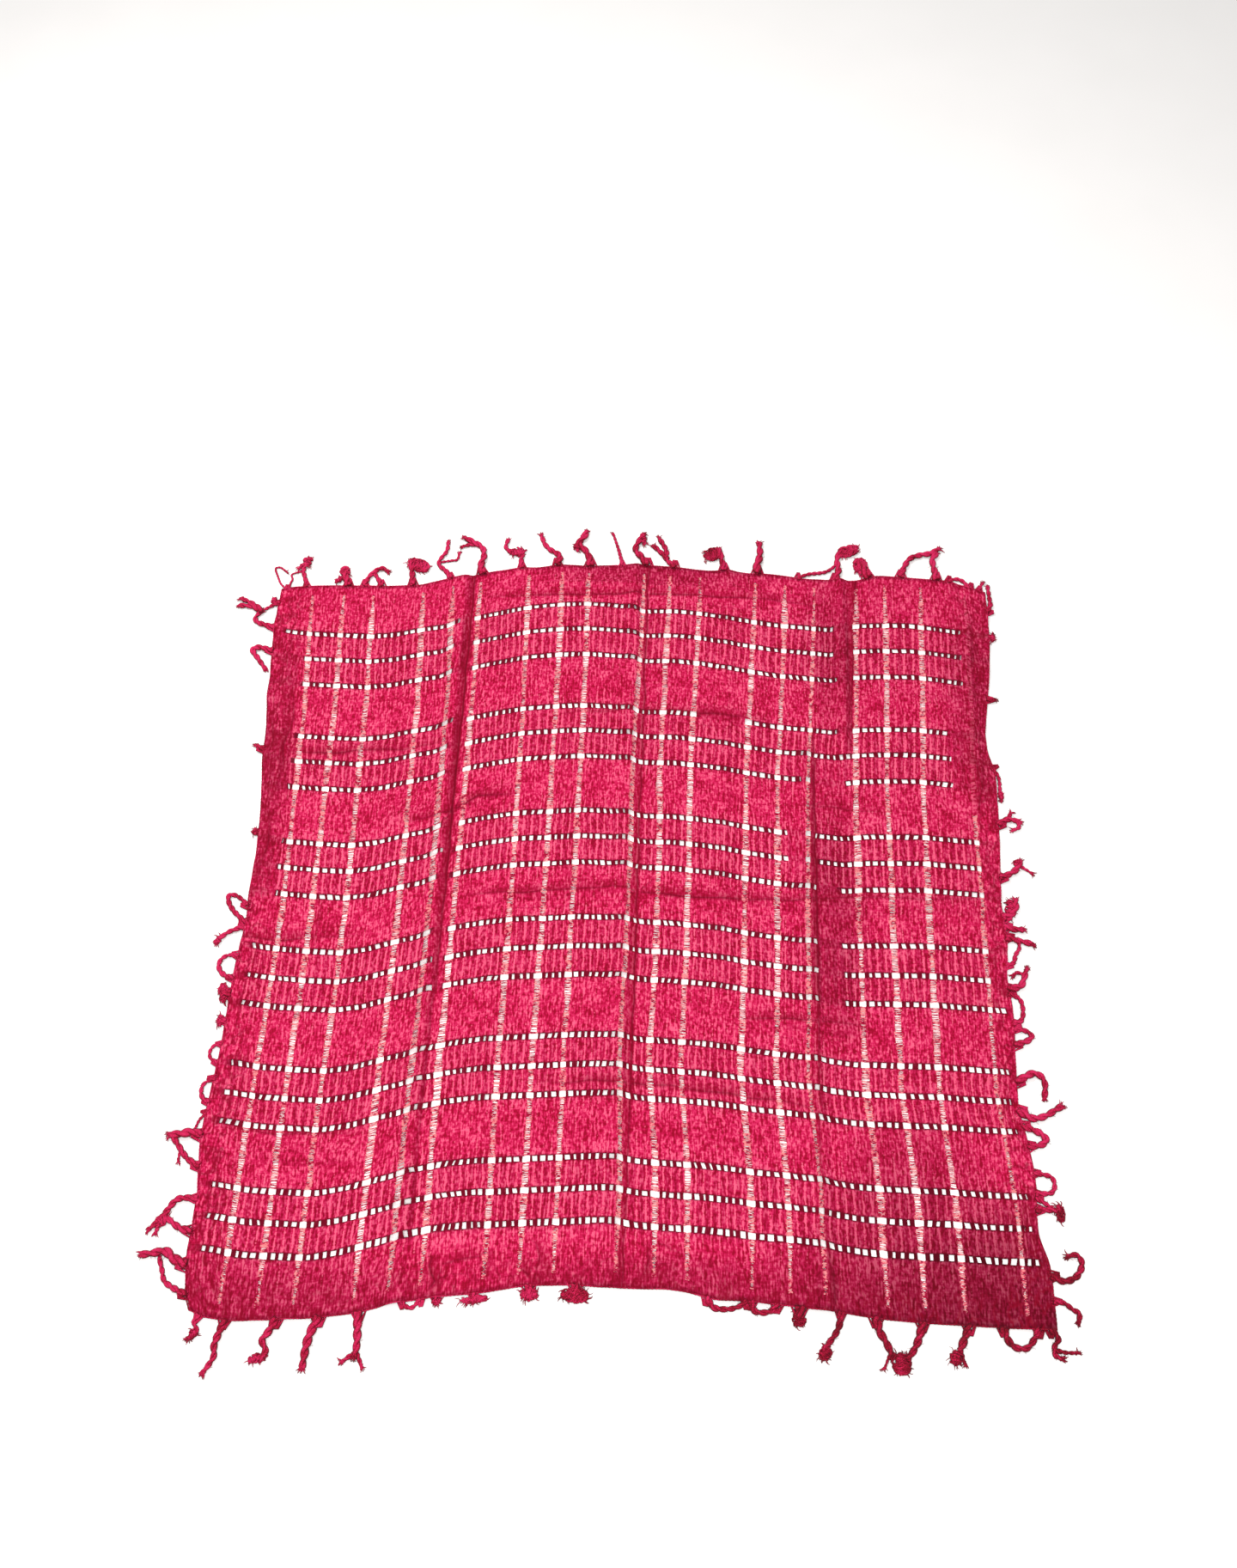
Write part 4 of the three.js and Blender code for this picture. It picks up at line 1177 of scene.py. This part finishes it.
def addRoot(store, name, at, half, rng):
    outs = (*root["outs"][:2], root["outs"][2] + half)
    highs = (*root["highs"][:2], root["highs"][2] + half * root["lift"])
    halves = (*root["halves"][:2], half * root["halves"][2])
    for q in range(root["yarns"]):
        off = lerp(-root["spread"], root["spread"], q / (root["yarns"] - 1)) * half
        off += rng.uniform(-root["chance"], root["chance"])
        centres = [
            (*edgePlace(name, at + off * share, out), high)
            for share, out, high in zip(root["shares"], outs, highs)
        ]
        addTube(store, centres, halves, 5)


def buildTassels(name):
    rng = random.Random(sum(map(ord, name)))
    store = ([], [])
    for strand in strands[name]:
        half = strand["half"] * cord["full"]
        route = strand["route"]
        endAt, endOut = route[-1]
        comesBack = len(route) > 2 and endOut < cord["back"]
        points = [edgePlace(name, strand["at"], strand.get("out", cord["start"]))]
        points += [edgePlace(name, at, out) for at, out in route[:-1]]
        points.append(edgePlace(name, endAt, cord["start"] if comesBack else endOut))
        line, length = smoothRoute(points, cord["step"])
        if half < cord["single"]:
            centres = [(x, y, shawl["underside"] + half) for x, y in line]
            sizes = [half * lerp(*cord["singleTaper"], n / len(line)) for n in range(len(line))]
            addTube(store, centres, sizes, 5)
        else:
            anyTurn = rng.uniform(0, 6)
            addTwist(store, line, length, half, anyTurn)
            addFuzz(store, line, length, half, rng)
        if "out" not in strand:
            addRoot(store, name, strand["at"], half, rng)
        if comesBack:
            addRoot(store, name, endAt, half, rng)
        else:
            run = (line[-1][0] - line[-3][0], line[-1][1] - line[-3][1])
            addFray(store, line[-1], run, half, rng)
    for tuft in tufts[name]:
        addTuft(store, name, tuft, rng)
    return meshPiece("tassels_" + name, *store)


# a thin doubled thread that closes the cloth all round
edging = {
    "inset": 2,
    "points": 400,
    "turn": 9,
    "out": -0.6,
    "swing": 0.45,
    "high": 1.35,
    "rise": 0.4,
    "half": 0.62,
}


def buildSelvedge():
    store = ([], [])
    inset = edging["inset"]
    for name in ("far", "near", "left", "right"):
        for phase in (0, math.pi):
            centres = []
            for n in range(edging["points"] + 1):
                at = lerp(inset, shawl["side"] - inset, n / edging["points"])
                turn = phase + at * 2 * math.pi / edging["turn"]
                x, y = edgePlace(name, at, edging["out"] + edging["swing"] * math.cos(turn))
                if name in ("far", "near"):
                    up = relief(x, inset if name == "near" else shawl["side"] - inset)
                else:
                    up = relief(x + (inset if name == "left" else -inset), y)
                centres.append((x, y, up + edging["high"] + edging["rise"] * math.sin(turn)))
            addTube(store, centres, [edging["half"]] * len(centres), 5)
    return meshPiece("edge_thread", *store)


def smoothYarn(piece):
    # smooth faces, and a mark for how far each place looks up, less the painted shade of the broad patches;
    # the yarn's material paints light on the tops and shade in the grooves from this mark
    mesh = piece.data
    mesh.polygons.foreach_set("use_smooth", [True] * len(mesh.polygons))
    darker = 0.55
    lift = []
    for vertex in mesh.vertices:
        shade = paintedShadeTone((vertex.co.x - shiftX) / mm, (vertex.co.y - shiftY) / mm)
        lift.append(vertex.normal.z - darker * shade)
    mesh.attributes.new("topside", "FLOAT", "POINT").data.foreach_set("value", lift)


# Materials. The helpers add nodes to the material that the given output belongs to.
def newMaterial(name):
    material = bpy.data.materials.new(name)
    material.use_nodes = True
    nodes = material.node_tree.nodes
    nodes.clear()
    output = nodes.new("ShaderNodeOutputMaterial")
    shader = nodes.new("ShaderNodeBsdfPrincipled")
    material.node_tree.links.new(shader.outputs["BSDF"], output.inputs["Surface"])
    return material, nodes, shader


def feed(socket, value):
    # a number or colour is set on the socket, and an output is linked to it
    if isinstance(value, (int, float, tuple)):
        socket.default_value = value
    else:
        socket.id_data.links.new(value, socket)


def addNode(output, kind):
    return output.id_data.nodes.new(kind)


def attribute(nodes, name):
    node = nodes.new("ShaderNodeAttribute")
    node.attribute_name = name
    return node.outputs["Fac"]


def noiseNode(place, scale, detail, stretch=(1, 1, 1)):
    mapping = addNode(place, "ShaderNodeMapping")
    feed(mapping.inputs["Scale"], stretch)
    feed(mapping.inputs["Vector"], place)
    texture = addNode(place, "ShaderNodeTexNoise")
    feed(texture.inputs["Scale"], scale)
    feed(texture.inputs["Detail"], detail)
    feed(texture.inputs["Vector"], mapping.outputs["Vector"])
    return texture.outputs["Fac"]


def rampNode(value, *stops):
    # each stop is a place and a colour, or one number for a grey
    ramp = addNode(value, "ShaderNodeValToRGB")
    elements = ramp.color_ramp.elements
    colours = [(at, tone if isinstance(tone, tuple) else (tone, tone, tone, 1)) for at, tone in stops]
    elements[0].position, elements[0].color = colours[0]
    elements[1].position, elements[1].color = colours[-1]
    for at, colour in colours[1:-1]:
        elements.new(at).color = colour
    feed(ramp.inputs["Fac"], value)
    return ramp.outputs["Color"]


def mathNode(operation, a, b=0):
    node = addNode(a, "ShaderNodeMath")
    node.operation = operation
    feed(node.inputs[0], a)
    feed(node.inputs[1], b)
    return node.outputs["Value"]


def scaled(value, factor):
    return mathNode("MULTIPLY", value, factor)


def added(first, *others):
    for other in others:
        first = mathNode("ADD", first, other)
    return first


def mixNode(share, a, b, blend="MIX"):
    node = addNode(share, "ShaderNodeMix")
    node.data_type = "RGBA"
    node.blend_type = blend
    feed(node.inputs["Factor"], share)
    feed(node.inputs["A"], a)
    feed(node.inputs["B"], b)
    return node.outputs["Result"]


def finishSurface(shader, colour, height, looks):
    feed(shader.inputs["Base Color"], colour)
    for name, value in looks["surface"].items():
        feed(shader.inputs[name], value)
    bump = addNode(height, "ShaderNodeBump")
    feed(bump.inputs["Strength"], looks["bump"])
    feed(bump.inputs["Distance"], looks["bumpDeep"])
    feed(bump.inputs["Height"], height)
    feed(shader.inputs["Normal"], bump.outputs["Normal"])


# the cloth's and yarn's dye colours; dark and shadow also paint shade in the creases, rims and yarn grooves,
# and the grey tint paints the broad patches of shade
dyeAndShade = {
    "dark": (0.10, 0.0004, 0.007, 1),
    "shadow": (0.20, 0.0005, 0.013, 1),
    "deep": (0.25, 0.0014, 0.016, 1),
    "main": (0.40, 0.0034, 0.044, 1),
    "bright": (0.54, 0.017, 0.092, 1),
    "pale": (0.69, 0.090, 0.175, 1),
    "paintedShadeTint": (0.34, 0.32, 0.30, 1),
    "bare": (0.82, 0.31, 0.32, 1),
    "sheen": (1, 0.4, 0.55, 1),
}
# how fine each pattern is across and along the cloth, and its share of the tone
wovenLooks = {
    "warp": (430, 70, 1),
    "warpShare": 0.46,
    "weft": (95, 620, 1),
    "weftShare": 0.14,
    "slub": (330, 210, 1),
    "slubShare": 0.40,
    "blotch": 30,
    "blotchShare": 0.16,
    "bead": (120, 330, 1),
    "beadShare": 1.3,
    "curl": (62, 40, 1),
    "surface": {
        "Roughness": 0.9,
        "Specular IOR Level": 0.08,
        "Sheen Weight": 0.05,
        "Sheen Roughness": 0.5,
        "Sheen Tint": dyeAndShade["sheen"],
    },
    "bump": 0.6,
    "bumpDeep": 0.0009,
}
bareLooks = {
    "fibre": 260,
    "surface": {"Roughness": 0.85, "Specular IOR Level": 0.2},
    "bump": 0.4,
    "bumpDeep": 0.0004,
}
yarnLooks = {
    "fibre": 900,
    "fibreShare": 0.6,
    "blotch": 60,
    "blotchShare": 0.4,
    "topShare": 0.26,
    "lightness": -0.11,
    "surface": {
        "Roughness": 0.78,
        "Specular IOR Level": 0.15,
        "Sheen Weight": 0.05,
        "Sheen Tint": dyeAndShade["sheen"],
    },
    "bump": 0.6,
    "bumpDeep": 0.0005,
}


def clothMaterial():
    material, nodes, shader = newMaterial("woven_pink")
    looks = wovenLooks
    place = nodes.new("ShaderNodeUVMap")
    place.uv_map = "UVMap"
    uv = place.outputs["UV"]

    # the threads, lighter and darker
    warp = noiseNode(uv, 1, 2, looks["warp"])
    weft = noiseNode(uv, 1, 2, looks["weft"])
    slub = noiseNode(uv, 1, 1, looks["slub"])
    threads = added(scaled(warp, looks["warpShare"]), scaled(weft, looks["weftShare"]))
    threads = added(threads, scaled(slub, looks["slubShare"]))
    blotch = scaled(noiseNode(uv, looks["blotch"], 3), looks["blotchShare"])
    tone = added(scaled(threads, 1 - looks["blotchShare"]), blotch)
    colour = rampNode(
        tone, (0.425, dyeAndShade["deep"]), (0.48, dyeAndShade["main"]), (0.53, dyeAndShade["bright"]), (0.585, dyeAndShade["pale"])
    )

    # pale slits between the bundles, and the dark threads round the open cells, their darkness partly the
    # threads' own and partly painted shade
    bead = scaled(noiseNode(uv, 1, 1, looks["bead"]), looks["beadShare"])
    slit = mathNode("SUBTRACT", attribute(nodes, "pale"), bead)
    colour = mixNode(rampNode(slit, (0.08, 0), (0.32, 1)), colour, dyeAndShade["pale"])
    rim = rampNode(attribute(nodes, "deepTone"), (0.1, 0), (0.45, 0.4), (0.75, 0.95))
    colour = mixNode(rim, colour, dyeAndShade["dark"])
    # painted shade: the broad patches darken the colour towards a grey tint
    colour = mixNode(attribute(nodes, "paintedShade"), colour, dyeAndShade["paintedShadeTint"], "MULTIPLY")

    # painted crease shade in the crumpled borders, then painted shade along the creases with a darker core
    curl = mathNode("SUBTRACT", noiseNode(uv, 1, 2, looks["curl"]), 0.5)
    curl = rampNode(mathNode("ABSOLUTE", curl), (0, 0.85), (0.02, 0.5), (0.06, 0))
    colour = mixNode(scaled(curl, attribute(nodes, "crumpled")), colour, dyeAndShade["shadow"])
    away = added(scaled(attribute(nodes, "creaseAway"), 0.5), 0.5)
    dark = attribute(nodes, "creaseDark")
    line = rampNode(away, (0.40, 0), (0.48, 1), (0.53, 0.85), (0.62, 0.55), (0.82, 0))
    colour = mixNode(scaled(line, dark), colour, dyeAndShade["shadow"])
    core = rampNode(away, (0.465, 0), (0.49, 0.6), (0.51, 0.6), (0.535, 0))
    colour = mixNode(scaled(core, dark), colour, dyeAndShade["dark"])
    finishSurface(shader, colour, threads, looks)
    return material


def bareThreadMaterial():
    material, nodes, shader = newMaterial("bare_thread")
    place = nodes.new("ShaderNodeTexCoord").outputs["Object"]
    fibre = noiseNode(place, bareLooks["fibre"], 1)
    colour = rampNode(fibre, (0.42, dyeAndShade["main"]), (0.48, dyeAndShade["pale"]), (0.58, dyeAndShade["bare"]))
    finishSurface(shader, colour, fibre, bareLooks)
    return material


def yarnMaterial():
    material, nodes, shader = newMaterial("twisted_yarn")
    looks = yarnLooks
    place = nodes.new("ShaderNodeTexCoord").outputs["Object"]
    fibre = noiseNode(place, looks["fibre"], 3)
    blotch = noiseNode(place, looks["blotch"], 2)
    # painted light and shade on the yarn: upward faces lighter, sides and grooves darker, and darker still
    # in the broad shade patches
    top = scaled(attribute(nodes, "topside"), looks["topShare"])
    tone = added(scaled(fibre, looks["fibreShare"]), scaled(blotch, looks["blotchShare"]))
    tone = added(tone, top, looks["lightness"])
    colour = rampNode(
        tone, (0.40, dyeAndShade["dark"]), (0.45, dyeAndShade["shadow"]), (0.50, dyeAndShade["deep"]), (0.56, dyeAndShade["main"]),
        (0.64, dyeAndShade["bright"])
    )
    finishSurface(shader, colour, fibre, looks)
    return material


# Camera, light and floor
view = {
    "at": (539.8, -282.3, 1942.8),
    "turn": (26.634, 0.980, 1.094),
    "lens": 37.146,
    "sensor": 36,
}
studio = {
    "floorSize": 14,
    "floor": ((0.93, 0.925, 0.92, 1), (0.95, 0.945, 0.94, 1)),
    "roomColour": (1, 0.985, 0.97, 1),
    "roomLight": 0.5,
    "lights": named(
        "name at aim size power colour",
        ("key_light", (-0.8, 0.9, 1.8), (-0.05, 0.05, 0), 0.7, 25, (1, 0.97, 0.95)),
        ("fill_light", (0.06, -0.95, 2.35), (0, 0, 0), 1.1, 50, (1, 0.98, 0.97)),
    ),
}


def buildCamera():
    deselectAll()
    turn = [math.radians(a) for a in view["turn"]]
    bpy.ops.object.camera_add(location=toFrame(*view["at"]), rotation=turn)
    camera = bpy.context.object
    camera.name = "view_camera"
    camera.data.lens = view["lens"]
    camera.data.sensor_width = view["sensor"]
    camera.data.clip_start = 0.01
    bpy.context.scene.camera = camera


def addLight(look):
    bpy.ops.object.light_add(type="AREA", location=look["at"])
    light = bpy.context.object
    light.name = look["name"]
    light.data.size = look["size"]
    light.data.energy = look["power"]
    light.data.color = look["colour"]
    light.rotation_euler = (Vector(look["aim"]) - Vector(look["at"])).to_track_quat("-Z", "Y").to_euler()


def buildStudio():
    deselectAll()
    bpy.ops.mesh.primitive_plane_add(size=studio["floorSize"], location=(0, 0, 0))
    floor = bpy.context.object
    floor.name = "pale_floor"
    material, nodes, shader = newMaterial("pale_floor")
    grain = noiseNode(nodes.new("ShaderNodeTexCoord").outputs["Object"], 6, 2)
    darker, lighter = studio["floor"]
    feed(shader.inputs["Base Color"], rampNode(grain, (0.3, darker), (0.7, lighter)))
    feed(shader.inputs["Roughness"], 0.9)
    floor.data.materials.append(material)
    for look in studio["lights"]:
        addLight(look)
    world = bpy.data.worlds.new("soft_room")
    bpy.context.scene.world = world
    world.use_nodes = True
    background = world.node_tree.nodes["Background"]
    feed(background.inputs["Color"], studio["roomColour"])
    feed(background.inputs["Strength"], studio["roomLight"])
    bpy.context.scene.view_settings.view_transform = "Standard"


buildCamera()
print("camera placed")
buildStudio()
print("studio ready")

woven = clothMaterial()
yarn = yarnMaterial()
thread = bareThreadMaterial()
print("materials ready")

cloth = buildCloth()
cloth.data.materials.clear()
ladder = buildRungs()
selvedge = buildSelvedge()
fringes = {name: buildTassels(name) for name in ("far", "near", "left", "right")}
cloth.data.materials.append(woven)
ladder.data.materials.append(thread)
for piece in [selvedge, *fringes.values()]:
    piece.data.materials.append(yarn)
    smoothYarn(piece)

for piece in [cloth, ladder, selvedge, *fringes.values()]:
    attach(piece, "root")
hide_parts("cloth")
for name, piece in fringes.items():
    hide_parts("fringe_" + name)
print("pieces ready")
